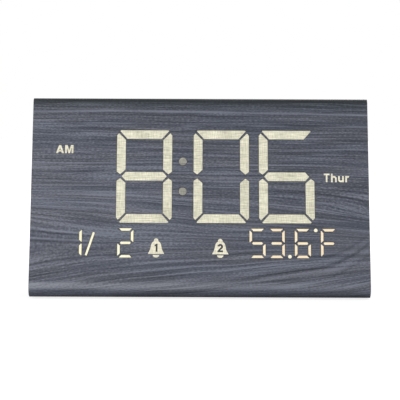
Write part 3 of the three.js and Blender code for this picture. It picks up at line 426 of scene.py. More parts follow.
def lit_plastic(name, bright, dull, glow, woven=1.0, share=0.42, fade=0.0, spots=()):
    """Diffuser seen through the film's weave: part of its light is its own, and its sides are painted
    dark as shade in the gap beside the film.

    The tone fades by the given share for each millimetre to the right. Spots are round dots
    (u, v, radius) on the face that shine at their brightest.
    """
    finish = Finish(name)
    behind, rise = face_plane(finish)
    fibre = finish.drawn_noise(finish.x, rise, *FIBRE)
    cloud = finish.noise(finish.place, scale=0.09, detail=1.0)
    speck = finish.noise(finish.place, scale=2.2, detail=1.0)
    tone = finish.total((0.45, fibre), (0.4, cloud), (0.15, speck), (-fade, finish.x))
    weft = finish.drawn_noise(finish.x, rise, *WEFT)
    warp = finish.drawn_noise(finish.x, rise, *WARP)
    weave = finish.total((0.58, weft), (0.42, warp))
    contrast = WEAVE_CONTRAST * woven
    veil = finish.math("MULTIPLY_ADD", weave, contrast, 1.0 - contrast / 2)
    veil = finish.vector(veil, veil, veil)
    for u, v, radius in spots:
        apart = finish.squared_distance(finish.x, rise, (u, v))
        tone = finish.math("ADD", tone, finish.span(apart, radius ** 2, 1.5 * radius ** 2, 0.5, 0.0))

    def lit(low, high):
        return finish.mix(1.0, finish.ramp(tone, (0.36, low), (0.62, high)), veil, "MULTIPLY")

    front = finish.span(behind, *FRONT_DEPTHS, 1.0, 0.0, smooth=False)
    # Painted shade on the sides down to a millimetre behind the face, the plain colour deeper
    sunk = finish.span(behind, *SUNK_DEPTHS, smooth=False)
    side = finish.mix(sunk, GUIDE_SIDE_SHADE, dim(dull, share))
    finish.set(
        Base_Color=finish.mix(front, side, lit(dim(dull, share), dim(bright, share))),
        Emission_Color=finish.mix(front, BLACK, lit(dull, bright)),
        Emission_Strength=glow,
    )
    finish.bump(finish.total((0.5, weave), (0.5, fibre)), 0.03)
    return finish.material


# Plain finishes

ROUGHNESS_SPREAD = 0.08
RIBBON_PITCH = 1.27
FIRST_WIRE_EDGE = -11.0, -10.6


def speckled(name, dark, light, size, roughness, depth, streak=(1.0, 1.0, 1.0), metallic=0.0, polish=0.0):
    """Fine grain of one colour: moulded, eroded, sawn, pressed or brushed, by its size and streak."""
    finish = Finish(name, roughness=roughness, metallic=metallic)
    stretch = finish.add("ShaderNodeVectorMath", operation="DIVIDE")
    finish.feed(stretch.inputs[0], finish.place)
    stretch.inputs[1].default_value = tuple(size * part for part in streak)
    grain = finish.noise(stretch.outputs[0], detail=3.0, roughness=0.6)
    mottle = finish.noise(finish.place, scale=0.9, roughness=0.6)
    cloud = finish.noise(finish.place, scale=0.05)
    tone = finish.total((0.5, grain), (0.25, mottle), (0.25, cloud))
    rough, fine = roughness + ROUGHNESS_SPREAD, roughness - ROUGHNESS_SPREAD
    finish.set(
        Base_Color=finish.ramp(tone, (0.35, dark), (0.65, light)),
        Roughness=finish.span(tone, 0.3, 0.7, rough, fine),
        Coat_Weight=polish,
    )
    finish.bump(finish.total((0.7, grain), (0.3, mottle)), depth)
    return finish.material


def circuit_board(name):
    """Green mask over copper tracks that turn at right angles, with rows of bare pads."""
    finish = Finish(name, roughness=0.35)
    brick = finish.add("ShaderNodeTexBrick", offset=0.37, squash=1.6, squash_frequency=3)
    finish.feed(brick.inputs["Vector"], finish.vector(finish.x, finish.z, finish.y))
    for key, value in {"Scale": 0.12, "Mortar Size": 0.045, "Mortar Smooth": 0.1}.items():
        brick.inputs[key].default_value = value
    track = brick.outputs["Fac"]
    dots = finish.add("ShaderNodeTexVoronoi")
    finish.feed(dots.inputs["Vector"], finish.place)
    dots.inputs["Scale"].default_value = 0.28
    pads = finish.span(dots.outputs["Distance"], 0.1, 0.13, 1.0, 0.0)
    cloud = finish.noise(finish.place, scale=0.4)
    mask = finish.ramp(cloud, (0.3, srgb(24, 78, 48)), (0.7, srgb(34, 96, 60)))
    colour = finish.mix(track, mask, srgb(52, 124, 80))
    finish.set(
        Base_Color=finish.mix(pads, colour, srgb(196, 190, 172)),
        Metallic=pads, Coat_Weight=0.3,
    )
    finish.bump(finish.total((0.6, track), (0.4, pads)), 0.08)
    return finish.material


def ribbon_stripes(name):
    """Ridged grey flat cable with its first wire red."""
    finish = Finish(name)
    turns = finish.math("MULTIPLY", finish.x, 2 * math.pi / RIBBON_PITCH)
    core = finish.span(finish.math("SINE", turns), -1.0, 1.0)
    colour = finish.ramp(core, (0.1, srgb(118, 122, 128)), (0.7, srgb(172, 176, 181)))
    first = finish.span(finish.x, *FIRST_WIRE_EDGE, 1.0, 0.0)
    finish.set(Base_Color=finish.mix(first, colour, srgb(150, 52, 46)))
    finish.bump(core, 0.3)
    return finish.material


FILM = wood_film("wrapped_film", wrapped, bent=True)
END_FILM = wood_film("end_film", upright, bent=False)
BIG_LIGHT = lit_plastic("big_digit_light", srgb(236, 232, 209), srgb(206, 203, 180), 0.64, woven=1.15)
UNLIT = lit_plastic("unlit_guide", srgb(205, 203, 188), srgb(182, 180, 165), 0.02, woven=0.3, share=1.0)
COLON_LIGHT = lit_plastic("colon_light", srgb(182, 181, 169), srgb(132, 131, 123), 0.5)
DATE_LIGHT = lit_plastic("date_light", srgb(255, 252, 224), srgb(248, 240, 200), 0.7, woven=0.3)
TEMPERATURE_DOTS = (55.47, -39.5, 1.2), (71.56, -23.0, 1.2)
WARM_LIGHT = lit_plastic(
    "temperature_light", srgb(255, 248, 222), srgb(250, 228, 194), 0.68,
    woven=0.3, fade=0.001, spots=TEMPERATURE_DOTS,
)
SIGN_LIGHT = lit_plastic("sign_light", srgb(242, 237, 214), srgb(226, 220, 196), 0.64)

SAWN = (1.0, 14.0, 1.0)
BRUSHED = (1.0, 9.0, 1.0)
WRAPPED_ROUND = (9.0, 1.0, 1.0)
FIBREBOARD = speckled("fibreboard", srgb(142, 114, 82), srgb(184, 154, 116), 0.5, 0.88, 0.08)
BLOCK_WOOD = speckled("sawn_wood", srgb(168, 136, 94), srgb(206, 176, 132), 0.5, 0.8, 0.1, SAWN)
WHITE_PLASTIC = speckled("white_moulding", srgb(222, 219, 208), srgb(236, 233, 224), 0.4, 0.5, 0.02)
BOARD = circuit_board("green_board")
COMPONENT = speckled("moulded_component", srgb(20, 21, 23), srgb(36, 37, 40), 0.25, 0.5, 0.03)
BLACK_PLASTIC = speckled("eroded_black", srgb(26, 27, 30), srgb(44, 45, 49), 0.22, 0.55, 0.06)
BUTTON_PLASTIC = speckled("satin_button", srgb(58, 61, 66), srgb(78, 82, 88), 0.35, 0.4, 0.02)
STEEL = speckled(
    "plated_steel", srgb(136, 138, 140), srgb(170, 172, 174), 0.12, 0.34, 0.01, BRUSHED, metallic=1.0,
)
# Darker copy of the plated steel: painted shade for the screws' recesses
SHADED_STEEL = speckled(
    "shaded_steel", srgb(38, 38, 40), srgb(58, 58, 60), 0.12, 0.5, 0.01, BRUSHED, metallic=1.0,
)
SLEEVE = speckled(
    "cell_sleeve", srgb(52, 78, 96), srgb(66, 96, 116), 0.3, 0.32, 0.01, WRAPPED_ROUND,
    metallic=0.2, polish=0.4,
)
SLEEVE_BAND = speckled(
    "sleeve_band", srgb(150, 152, 154), srgb(178, 180, 182), 0.3, 0.3, 0.01, WRAPPED_ROUND,
    metallic=0.3, polish=0.4,
)
MASK_INK = speckled("mask_ink", srgb(46, 48, 52), srgb(58, 60, 66), 0.4, 0.6, 0.01)
MARK_INK = speckled("mark_ink", srgb(176, 178, 180), srgb(204, 206, 207), 0.15, 0.7, 0.02)
RIBBON = ribbon_stripes("ribbon_grey")
RUBBER = speckled("matt_rubber", srgb(26, 27, 28), srgb(44, 45, 46), 0.3, 0.85, 0.05)

# Pieces and their meshes

WELD = 0.002
FLAT_ANGLE, EDGE_ANGLE = math.radians(0.5), math.radians(35)
EDGE_STEPS = 3
CORNER_STEPS = 5
LATHE_STEPS = 64
ON_AXIS = 1e-6


def piece(name, mesh, materials, body="case", stands_for=()):
    """Puts a mesh into the scene as a piece of the clock."""
    mesh.name = name
    for material in materials:
        mesh.materials.append(material)
    obj = bpy.data.objects.new(name, mesh)
    SCENE.collection.objects.link(obj)
    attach(obj, body)
    if stands_for:
        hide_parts(*stands_for)
    return obj


def mesh_of(work, name):
    """The mesh that a finished bmesh gives."""
    mesh = bpy.data.meshes.new(name)
    work.to_mesh(mesh)
    work.free()
    return mesh


def smooth(mesh, angle=30):
    """Shades a mesh smooth, apart from its edges sharper than an angle in degrees."""
    mesh.polygons.foreach_set("use_smooth", [True] * len(mesh.polygons))
    mesh.set_sharp_from_angle(angle=math.radians(angle))
    return mesh


def rounded(node, width, chosen):
    """A node's shape with its sharp edges rounded where both their ends are chosen."""
    work = bmesh.new()
    work.from_mesh(frame["nodes"][node].data)
    bmesh.ops.remove_doubles(work, verts=work.verts, dist=WELD * MM)
    bmesh.ops.dissolve_limit(
        work, angle_limit=FLAT_ANGLE, verts=work.verts, edges=work.edges, delimit={"NORMAL"},
    )
    sharp = [
        edge for edge in work.edges
        if len(edge.link_faces) == 2 and edge.calc_face_angle() > EDGE_ANGLE
        and all(chosen(vert.co / MM) for vert in edge.verts)
    ]
    bmesh.ops.bevel(
        work, geom=sharp, offset=width * MM, offset_type="OFFSET", segments=EDGE_STEPS, profile=0.5,
        affect="EDGES", clamp_overlap=True,
    )
    mesh = mesh_of(work, node)
    if "custom_normal" in mesh.attributes:
        mesh.attributes.remove(mesh.attributes["custom_normal"])
    return smooth(mesh)


def dress(node, material, width, chosen, body="case"):
    """Puts a rounded shape in a node's place, with its flat faces shaded flat beside the edges."""
    mesh = rounded(node, width, chosen)
    obj = piece(f"{node}_finished", mesh, [material], body, [node])
    modifier = obj.modifiers.new("flat_faces", "WEIGHTED_NORMAL")
    modifier.keep_sharp = True


def soften(points, radius):
    """A polyline with its inner corners rounded."""
    result = [points[0]]
    for before, corner, after in zip(points, points[1:], points[2:]):
        corner = Vector(corner)
        legs = [Vector(before) - corner, Vector(after) - corner]
        reach = min(radius, legs[0].length * 0.45, legs[1].length * 0.45)
        start, end = [corner + leg.normalized() * reach for leg in legs]
        for step in range(CORNER_STEPS + 1):
            t = step / CORNER_STEPS
            result.append(tuple(start * (1 - t) ** 2 + corner * 2 * t * (1 - t) + end * t ** 2))
    result.append(points[-1])
    return result


def lathe(points, segments=LATHE_STEPS):
    """Mesh turned about the Y axis from points (radius, y) that end on the axis or where they start."""
    work = bmesh.new()
    turns = [2 * math.pi * step / segments for step in range(segments)]
    rings = []
    for radius, y in points:
        around = turns if radius > ON_AXIS else [0.0]
        spokes = [(radius * math.cos(turn), radius * math.sin(turn)) for turn in around]
        rings.append([work.verts.new((x * MM, y * MM, z * MM)) for x, z in spokes])
    for lower, upper in zip(rings, rings[1:]):
        for step in range(segments):
            after = (step + 1) % segments
            corners = [lower[step % len(lower)], lower[after % len(lower)],
                       upper[after % len(upper)], upper[step % len(upper)]]
            work.faces.new(dict.fromkeys(corners))
    bmesh.ops.remove_doubles(work, verts=work.verts, dist=WELD / 2 * MM)
    bmesh.ops.recalc_face_normals(work, faces=work.faces)
    return smooth(mesh_of(work, "turned"))


def arc(x, y, radius, start, end, steps=14):
    """Points on an arc, its angles in degrees."""
    turns = [math.radians(start + (end - start) * step / steps) for step in range(steps + 1)]
    return [(x + radius * math.cos(turn), y + radius * math.sin(turn)) for turn in turns]


def middle_of(node):
    low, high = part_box(node)
    return (low + high) / 2


def move_to_axis(node, mesh):
    """Moves a mesh turned about the Y axis to the axis of a node on the back."""
    centre = middle_of(node)
    mesh.transform(Matrix.Translation((centre.x, 0, centre.z)))
    return mesh


# Case, cover and door with rounded edges

SIDE = HALF_WIDTH - 0.1
REAR_RIM = 27.9
OUTER_REAR = COVER_FACE - 0.1
VENEER_EDGE, END_FILM_EDGE, BOARD_EDGE, MOULDED_EDGE = 0.16, 0.12, 0.2, 0.3


def on_side_or_rim(point):
    return abs(point.x) > SIDE or point.y > REAR_RIM


def on_rear(point):
    return point.y > OUTER_REAR


dress("veneer_film", FILM, VENEER_EDGE, on_side_or_rim)
for side in ("left", "right"):
    dress(f"{side}_end_film", END_FILM, END_FILM_EDGE, on_side_or_rim)
    dress(f"{side}_end_board", FIBREBOARD, BOARD_EDGE, on_rear)
dress("case_shell", FIBREBOARD, BOARD_EDGE, on_rear)
dress("rear_cover", BLACK_PLASTIC, MOULDED_EDGE, on_rear)
dress("battery_door", BLACK_PLASTIC, MOULDED_EDGE, on_rear, "battery_door")

# Turned pieces: buttons, feet, screws, cells and the pin of the socket, as (radius, y) profiles

CAP_FACE = 28.0
CAP_PROFILE = [
    (0, 20.6), (2.0, 20.6), (2.0, 23.3), (5.2, 23.3), (5.2, 24.5), (3.8, 24.5),
    (3.8, CAP_FACE), (3.1, CAP_FACE), (2.3, CAP_FACE - 0.14), (1.5, CAP_FACE - 0.23),
    (0.7, CAP_FACE - 0.28), (0, CAP_FACE - 0.3),
]
FOOT_PROFILE = [(0, 0), (4.7, 0), (5, 0.3), (5, 0.8), (0, 0.8)]
SCREW_TOP = 27.9
SCREW_PROFILE = [
    (0, 19), (0.7, 19), (1.3, 19.6), (1.3, 27), (2.6, 27), (2.6, 27.4), (2.0, SCREW_TOP), (0, SCREW_TOP),
]
SCREW_STEPS = 40
RECESS_REACH, RECESS_HALF_WIDTH, RECESS_FLOOR = 1.6, 0.35, 27.4
RECESS_MARGIN = 0.01
CELL_BAND = 11.0
CELL_METAL = 4.2
CELL_FINISHES = SLEEVE, STEEL, SLEEVE_BAND
PLAIN, METAL, BAND = range(3)
CELL_PROFILE = [
    (0, -22.1), (3.9, -22.1), (4.15, -22.25), (4.65, -22.25), (5.25, -21.6), (5.25, CELL_BAND),
    (5.25, 20.4), (4.7, 21.05), (4.25, 21.05), (4.0, 20.85), (2.2, 20.85), (1.9, 21.1), (1.9, 22.25),
    (0, 22.25),
]
PIN_PROFILE = [(0, 17.0), (1.04, 17.0), (1.04, 23.6), (0.7, 23.9), (0, 23.9)]
PIN_STEPS = 32
CAP_ROUND, FOOT_ROUND, SCREW_ROUND, CELL_ROUND, PIN_ROUND = 0.35, 0.3, 0.25, 0.25, 0.2

for number in range(1, 5):
    button = f"button_{number}"
    mesh = move_to_axis(button, lathe(soften(CAP_PROFILE, CAP_ROUND)))
    piece(f"{button}_cap", mesh, [BUTTON_PLASTIC], button, [button])

    foot = f"foot_{number}"
    mesh = lathe(soften(FOOT_PROFILE, FOOT_ROUND))
    centre = middle_of(foot)
    mesh.transform(Matrix.Translation((centre.x, centre.y, 0)) @ Matrix.Rotation(math.pi / 2, 4, "X"))
    piece(f"{foot}_pad", mesh, [RUBBER], "case", [foot])


def block(half_x, half_z, bottom):
    """Object of a block 2 mm deep that cuts one arm of the recess."""
    work = bmesh.new()
    bmesh.ops.create_cube(work, size=2 * MM)
    bmesh.ops.scale(work, vec=(half_x, 1, half_z), verts=work.verts)
    bmesh.ops.translate(work, vec=(0, (bottom + 1) * MM, 0), verts=work.verts)
    return bpy.data.objects.new("recess", mesh_of(work, "recess"))


def recessed_screw():
    """Screw with a crossed recess cut into its head, whose faces have the second finish, a darker steel
    that paints shade in the recess.
    """
    screw = bpy.data.objects.new("screw", lathe(soften(SCREW_PROFILE, SCREW_ROUND), SCREW_STEPS))
    cutters = [
        block(RECESS_REACH, RECESS_HALF_WIDTH, RECESS_FLOOR),
        block(RECESS_HALF_WIDTH, RECESS_REACH, RECESS_FLOOR),
    ]
    for obj in (screw, *cutters):
        SCENE.collection.objects.link(obj)
    for cutter in cutters:
        modifier = screw.modifiers.new("recess", "BOOLEAN")
        modifier.object = cutter
    bpy.context.view_layer.update()
    result = bpy.data.meshes.new_from_object(screw.evaluated_get(bpy.context.evaluated_depsgraph_get()))
    for obj in (screw, *cutters):
        bpy.data.objects.remove(obj)
    low, high = RECESS_FLOOR - RECESS_MARGIN, SCREW_TOP - RECESS_MARGIN
    for face in result.polygons:
        centre = face.center / MM
        inside = math.hypot(centre.x, centre.z) < RECESS_REACH + RECESS_HALF_WIDTH
        face.material_index = 1 if inside and low < centre.y < high else 0
    return smooth(result)


screw_mesh = recessed_screw()
for number in range(1, 5):
    screw = f"rear_screw_{number}"
    mesh = move_to_axis(screw, screw_mesh.copy())
    piece(f"{screw}_head", mesh, [STEEL, SHADED_STEEL], "case", [screw])

for number in range(1, 4):
    cell = f"battery_cell_{number}"
    mesh = lathe(soften(CELL_PROFILE, CELL_ROUND))
    for face in mesh.polygons:
        radius = max(math.hypot(mesh.vertices[i].co.x, mesh.vertices[i].co.z) for i in face.vertices)
        jacket = BAND if face.center.y > CELL_BAND * MM else PLAIN
        face.material_index = METAL if radius < CELL_METAL * MM else jacket
    turn = math.pi / 2 if number % 2 == 0 else -math.pi / 2
    mesh.transform(Matrix.Translation(middle_of(cell)) @ Matrix.Rotation(turn, 4, "Z"))
    piece(f"{cell}_body", mesh, CELL_FINISHES, "case", [cell])

pin_mesh = move_to_axis("power_socket", lathe(soften(PIN_PROFILE, PIN_ROUND), PIN_STEPS))
piece("socket_pin", pin_mesh, [STEEL])

# Raised rims round the button and socket holes, and a bead round the cover

RIM_HEIGHT = 0.45
RIM_WIDTH = 1.1
RIM_SINK = 0.2
RIM_ROUND = 0.3
BUTTON_RIM, SOCKET_RIM = 4.3, 3.3
BEAD_INSET = 2.2
BEAD_WIDTH = 0.9
BEAD_HEIGHT = 0.35
BEAD_CORNER = 2.0
BEAD_CORNER_STEPS, BEAD_STEPS = 6, 8
BEAD_SMOOTH_ANGLE = 50


def rim(name, node, inner):
    low, high = COVER_FACE - RIM_SINK, COVER_FACE + RIM_HEIGHT
    outer = inner + RIM_WIDTH
    loop = [(inner, low), (inner, high), (outer, high), (outer, low)]
    mesh = move_to_axis(node, lathe(soften([*loop, loop[0]], RIM_ROUND)))
    piece(name, mesh, [BLACK_PLASTIC])


for number in range(1, 5):
    rim(f"button_rim_{number}", f"button_{number}", BUTTON_RIM)
rim("socket_rim", "power_socket", SOCKET_RIM)


def bead_path():
    """Points (x, z) along a rectangle with round corners, inside the cover's edge."""
    low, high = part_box("rear_cover")
    inset = BEAD_INSET + BEAD_CORNER
    half = (high.x - low.x) / 2 / MM - inset
    bottom, top = low.z / MM + inset, high.z / MM - inset
    path = []
    for x, z, start in ((half, bottom, -90), (half, top, 0), (-half, top, 90), (-half, bottom, 180)):
        path += arc(x, z, BEAD_CORNER, start, start + 90, BEAD_CORNER_STEPS)
    return [Vector((x, 0, z)) for x, z in path]


def bead():
    """Rounded ridge that runs round the cover near its edge."""
    path = bead_path()
    section = arc(0, 0, 1, 0, 180, BEAD_STEPS)
    work = bmesh.new()
    rows = []
    for before, here, after in zip([path[-1], *path], path, [*path[1:], path[0]]):
        along = (after - before).normalized()
        outward = Vector((along.z, 0, -along.x))
        row = []
        for side, rise in section:
            point = here + outward * side * BEAD_WIDTH / 2
            point.y = COVER_FACE - RIM_SINK + rise * (BEAD_HEIGHT + RIM_SINK)
            row.append(work.verts.new(point * MM))
        rows.append(row)
    for row, following in zip(rows, [*rows[1:], rows[0]]):
        for step in range(len(section)):
            nearby = (step + 1) % len(section)
            work.faces.new((row[step], row[nearby], following[nearby], following[step]))
    bmesh.ops.recalc_face_normals(work, faces=work.faces)
    mesh = smooth(mesh_of(work, "bead"), BEAD_SMOOTH_ANGLE)
    piece("cover_bead", mesh, [BLACK_PLASTIC])


bead()

# Letters of the lit words. A letter is its width and its outlines, and its lower left corner is at 0, 0.

CAP_HEIGHT = 5.45
LOW_HEIGHT = 3.95
STEM = 1.02
A_WIDTH, M_WIDTH = 5.2, 5.48
T_WIDTH, T_BAR = 3.6, 0.95
R_WIDTH, R_END = 2.3, 66
ARCH = 1.76
ARCH_SPRING = LOW_HEIGHT - ARCH
ARCH_MEET = math.degrees(math.acos((STEM - ARCH) / ARCH))


def capital_a():
    outer = [
        (0, 0), (1.9, CAP_HEIGHT), (3.3, CAP_HEIGHT), (A_WIDTH, 0),
        (3.8, 0), (3.45, 1.1), (1.75, 1.1), (1.4, 0),
    ]
    return A_WIDTH, [outer, [(2.08, 2.1), (3.12, 2.1), (2.6, 3.85)]]


def capital_m():
    half = [(0, 0), (0, CAP_HEIGHT), (1.65, CAP_HEIGHT), (2.74, 1.9)]
    inner = [(2.24, 0), (1.18, 3.7), (1.18, 0)]
    flip = [(M_WIDTH - x, y) for x, y in reversed(half[:-1])]
    return M_WIDTH, [half + flip + [(M_WIDTH - x, y) for x, y in reversed(inner)] + inner]


def capital_t():
    low = CAP_HEIGHT - T_BAR
    left, right = (T_WIDTH - STEM) / 2, (T_WIDTH + STEM) / 2
    outline = [
        (0, CAP_HEIGHT), (T_WIDTH, CAP_HEIGHT), (T_WIDTH, low), (right, low),
        (right, 0), (left, 0), (left, low), (0, low),
    ]
    return T_WIDTH, [outline]


def arched(height):
    """A stem of the given height with an arch beside it."""
    loop = [(0, 0), (0, height), (STEM, height)]
    loop += arc(ARCH, ARCH_SPRING, ARCH, ARCH_MEET, 0)
    loop += [(2 * ARCH, 0), (2 * ARCH - STEM, 0)]
    loop += arc(ARCH, ARCH_SPRING, ARCH - STEM, 0, 180)
    return loop + [(STEM, 0)]


def small_h():
    return 2 * ARCH, [arched(CAP_HEIGHT)]


def small_u():
    return 2 * ARCH, [[(2 * ARCH - x, LOW_HEIGHT - y) for x, y in arched(LOW_HEIGHT)]]


def small_r():
    loop = [(0, 0), (0, LOW_HEIGHT), (STEM, LOW_HEIGHT)]
    loop += arc(ARCH, ARCH_SPRING, ARCH, ARCH_MEET, R_END)
    loop += arc(ARCH, ARCH_SPRING, ARCH - STEM, R_END, 180)
    return R_WIDTH, [loop + [(STEM, 0)]]


# Bells with figures, from the right half of a bell's outline

BELL_SIDE = [
    (5.0, 0), (4.9, 0.35), (4.15, 1.7), (3.6, 3.0), (3.25, 4.9), (2.95, 6.2), (2.4, 7.2), (1.45, 7.9),
]
BELL_ROUND = 0.8
KNOB_LEVEL, KNOB_RADIUS = 8.3, 1.4
CLAPPER_HALF_WIDTH, CLAPPER_DEPTH, CLAPPER_GAP = 2.0, 1.6, 0.66
TWO_CENTRE = 1.72, 3.46
TWO_OUTER, TWO_INNER = 1.7, 0.5
TWO_START, TWO_END = 172, -32


def figure_one():
    return [(0.7, 0), (1.8, 0), (1.8, 5.1), (1.1, 5.1), (0, 4.3), (0, 3.25), (0.7, 3.75)]


def figure_two():
    loop = arc(*TWO_CENTRE, TWO_OUTER, TWO_START, TWO_END)
    loop += [(1.65, 1.14), (3.42, 1.14), (3.42, 0), (0, 0), (0, 0.82)]
    return loop + arc(*TWO_CENTRE, TWO_INNER, TWO_END, TWO_START)


def bell():
    side = soften(BELL_SIDE, BELL_ROUND) + arc(0, KNOB_LEVEL, KNOB_RADIUS, -10, 90)
    body = side + [(-x, y) for x, y in reversed(side[:-1])]
    lower = arc(0, 0, 1, 180, 360)
    clapper = [(x * CLAPPER_HALF_WIDTH, y * CLAPPER_DEPTH - CLAPPER_GAP) for x, y in lower]
    return [body, clapper]


# Lit words and bells on the face, at places (u, v) from its middle

SIGN_THICK = 0.06
FIGURE_THICK = 0.03
FIGURE_RISE = 1.3
HALF_DAY_PLACE, HALF_DAY_GAP, HALF_DAY_SCALE = (-90.0, 25.5), 0.7, 0.95
WEEKDAY_PLACE, WEEKDAY_GAP = (76.94, 7.57), 0.92
ALARM_1_PLACE, ALARM_2_PLACE = (-26.95, -38.1), (12.6, -38.2)


def sheet(name, loops, place, thick, material, body="case"):
    """Thin flat piece from outlines with holes, lying on the plane that the matrix gives."""
    curve = bpy.data.curves.new(name, "CURVE")
    curve.dimensions = "2D"
    curve.fill_mode = "BOTH"
    curve.extrude = thick / 2 * MM
    for loop in loops:
        spline = curve.splines.new("POLY")
        spline.points.add(len(loop) - 1)
        for point, (x, y) in zip(spline.points, loop):
            point.co = (x * MM, y * MM, 0, 1)
        spline.use_cyclic_u = True
    holder = bpy.data.objects.new(name, curve)
    mesh = bpy.data.meshes.new_from_object(holder)
    bpy.data.objects.remove(holder)
    bpy.data.curves.remove(curve)
    mesh.transform(place @ Matrix.Translation((0, 0, thick / 2 * MM)))
    piece(name, mesh, [material], body)


def on_face(u, v):
    return FACE @ Matrix.Translation((u * MM, v * MM, 0))


def alarm_sign(number, figure, place):
    """Lit bell with a dark figure in it."""
    middle = max(x for x, y in figure) / 2
    figure = [(x - middle, y + FIGURE_RISE) for x, y in figure]
    matrix = on_face(*place)
    sheet(f"alarm_sign_{number}", [*bell(), figure], matrix, SIGN_THICK, SIGN_LIGHT)
    sheet(f"alarm_figure_{number}", [figure], matrix, FIGURE_THICK, MASK_INK)


def word(name, letters, place, gap, scale=1.0):
    """Row of lit letters that starts at a place on the face."""
    loops = []
    start = 0.0
    for width, outlines in letters:
        loops += [[((x + start) * scale, y * scale) for x, y in outline] for outline in outlines]
        start += width + gap
    sheet(name, loops, on_face(*place), SIGN_THICK, SIGN_LIGHT)


word("half_day_sign", [capital_a(), capital_m()], HALF_DAY_PLACE, HALF_DAY_GAP, HALF_DAY_SCALE)
word("weekday_sign", [capital_t(), small_h(), small_u(), small_r()], WEEKDAY_PLACE, WEEKDAY_GAP)
alarm_sign(1, figure_one(), ALARM_1_PLACE)
alarm_sign(2, figure_two(), ALARM_2_PLACE)

# Printed marks beside the controls on the cover and on the door

REAR = Matrix.Rotation(math.pi, 4, "Z") @ Matrix.Rotation(math.pi / 2, 4, "X")
MARK_THICK = 0.04
MARK_RISE = 9.6
MARK_LINE = 0.5
MARK_HALF = MARK_LINE / 2
MARK_STEPS = 40
CLOCK_RADIUS, HOUR_HAND, MINUTE_HAND = 2.8, 1.5, 1.9
BELL_MARK_SCALE = 0.46
ARROW_SIZE = 2.4
ARROW = (-1, -0.75), (1, -0.75), (0, 0.95)
ARROW_LEVEL = 46.5
POLARITY_DOT, POLARITY_RING, POLARITY_GAP = 0.85, 2.0, 35
POLARITY_LEAD = 0.95, 3.0
SIGN_NEAR, SIGN_FAR, SIGN_HALF = 3.3, 4.9, 0.8


def bar(left, right, half):
    """Level bar of the given half height."""
    return [(left, -half), (right, -half), (right, half), (left, half)]


def ring(radius, gap=0):
    """Outlines of a ring, or of one with a gap on the right that reaches so many degrees each way."""
    outer = arc(0, 0, radius, gap, 360 - gap, MARK_STEPS)
    inner = arc(0, 0, radius - MARK_LINE, 360 - gap, gap, MARK_STEPS)
    return [outer + inner] if gap else [outer[:-1], inner[:-1]]


def clock_mark():
    hands = [
        (-MARK_HALF, -MARK_HALF), (HOUR_HAND, -MARK_HALF), (HOUR_HAND, MARK_HALF),
        (MARK_HALF, MARK_HALF), (MARK_HALF, MINUTE_HAND), (-MARK_HALF, MINUTE_HAND),
    ]
    return [*ring(CLOCK_RADIUS), hands]


def bell_mark():
    middle = KNOB_LEVEL / 2
    return [[(x * BELL_MARK_SCALE, (y - middle) * BELL_MARK_SCALE) for x, y in loop] for loop in bell()]


def arrow_mark(turn):
    return [[(x * ARROW_SIZE, y * ARROW_SIZE * turn) for x, y in ARROW]]


def polarity_mark():
    """Dot in a broken ring, with a minus on the ring's side and a plus on the dot's."""
    dot = arc(0, 0, POLARITY_DOT, 0, 360)[:-1]
    minus = bar(-SIGN_FAR, -SIGN_NEAR, MARK_HALF)
    left, right = [(SIGN_NEAR + SIGN_FAR) / 2 + side * MARK_HALF for side in (-1, 1)]
    plus = [
        (SIGN_NEAR, -MARK_HALF), (left, -MARK_HALF), (left, -SIGN_HALF), (right, -SIGN_HALF),
        (right, -MARK_HALF), (SIGN_FAR, -MARK_HALF), (SIGN_FAR, MARK_HALF), (right, MARK_HALF),
        (right, SIGN_HALF), (left, SIGN_HALF), (left, MARK_HALF), (SIGN_NEAR, MARK_HALF),
    ]
    lead = bar(*POLARITY_LEAD, MARK_HALF / 2)
    return [dot, *ring(POLARITY_RING, POLARITY_GAP), minus, plus, lead]


def mark(name, loops, x, z, body="case"):
    """Printed sign on the back at a place in metres."""
    place = Matrix.Translation((x, COVER_FACE * MM, z)) @ REAR
    sheet(name, loops, place, MARK_THICK, MARK_INK, body)


def mark_above(name, node, loops):
    centre = middle_of(node)
    mark(name, loops, centre.x, centre.z + MARK_RISE * MM)


mark_above("time_mark", "button_4", clock_mark())
mark_above("alarm_mark", "button_3", bell_mark())
mark_above("up_mark", "button_2", arrow_mark(1))
mark_above("down_mark", "button_1", arrow_mark(-1))
mark_above("polarity_mark", "power_socket", polarity_mark())
mark("door_arrow", arrow_mark(1), 0, ARROW_LEVEL * MM, "battery_door")

# Finishes of the nodes that keep their own shape

NODE_FINISHES = {
    "hour_tens_guide": UNLIT, "hour_units_guide": BIG_LIGHT, "colon_guide": COLON_LIGHT,
    "minute_tens_guide": BIG_LIGHT, "minute_units_guide": BIG_LIGHT, "date_guide": DATE_LIGHT,
    "temperature_guide": WARM_LIGHT,
}
SLOT_FINISHES = {
    "wood_film": FILM, "fibreboard": FIBREBOARD, "block_wood": BLOCK_WOOD, "white_plastic": WHITE_PLASTIC,
    "lit_plastic": BIG_LIGHT, "circuit_board": BOARD, "black_component": COMPONENT,
    "black_plastic": BLACK_PLASTIC, "button_plastic": BUTTON_PLASTIC, "steel": STEEL,
    "cell_jacket": SLEEVE, "ribbon": RIBBON, "rubber": RUBBER,
}
for part in frame["record"]["subparts"]:
    node = frame["nodes"][part["node"]]
    finish = NODE_FINISHES.get(part["node"], SLOT_FINISHES[part["material_slot"]])
    node.data.materials.clear()
    node.data.materials.append(finish)

# Floor and world. Both glow towards the camera, and gloss sees painted shade on the floor beside the
# clock.

WHITE = (1.0, 1.0, 1.0, 1.0)
FLOOR_RADIUS, FLOOR_STEPS = 8, 96
FLOOR_COLOUR = (0.56, 0.56, 0.56, 1.0)
LIFT_REACH, NEAR_LIFT, FAR_LIFT = (160.0, 420.0), 0.78, 1.0
SHADE_REACH, SHADED = (30.0, 90.0), 0.05
AMBIENT = 0.32


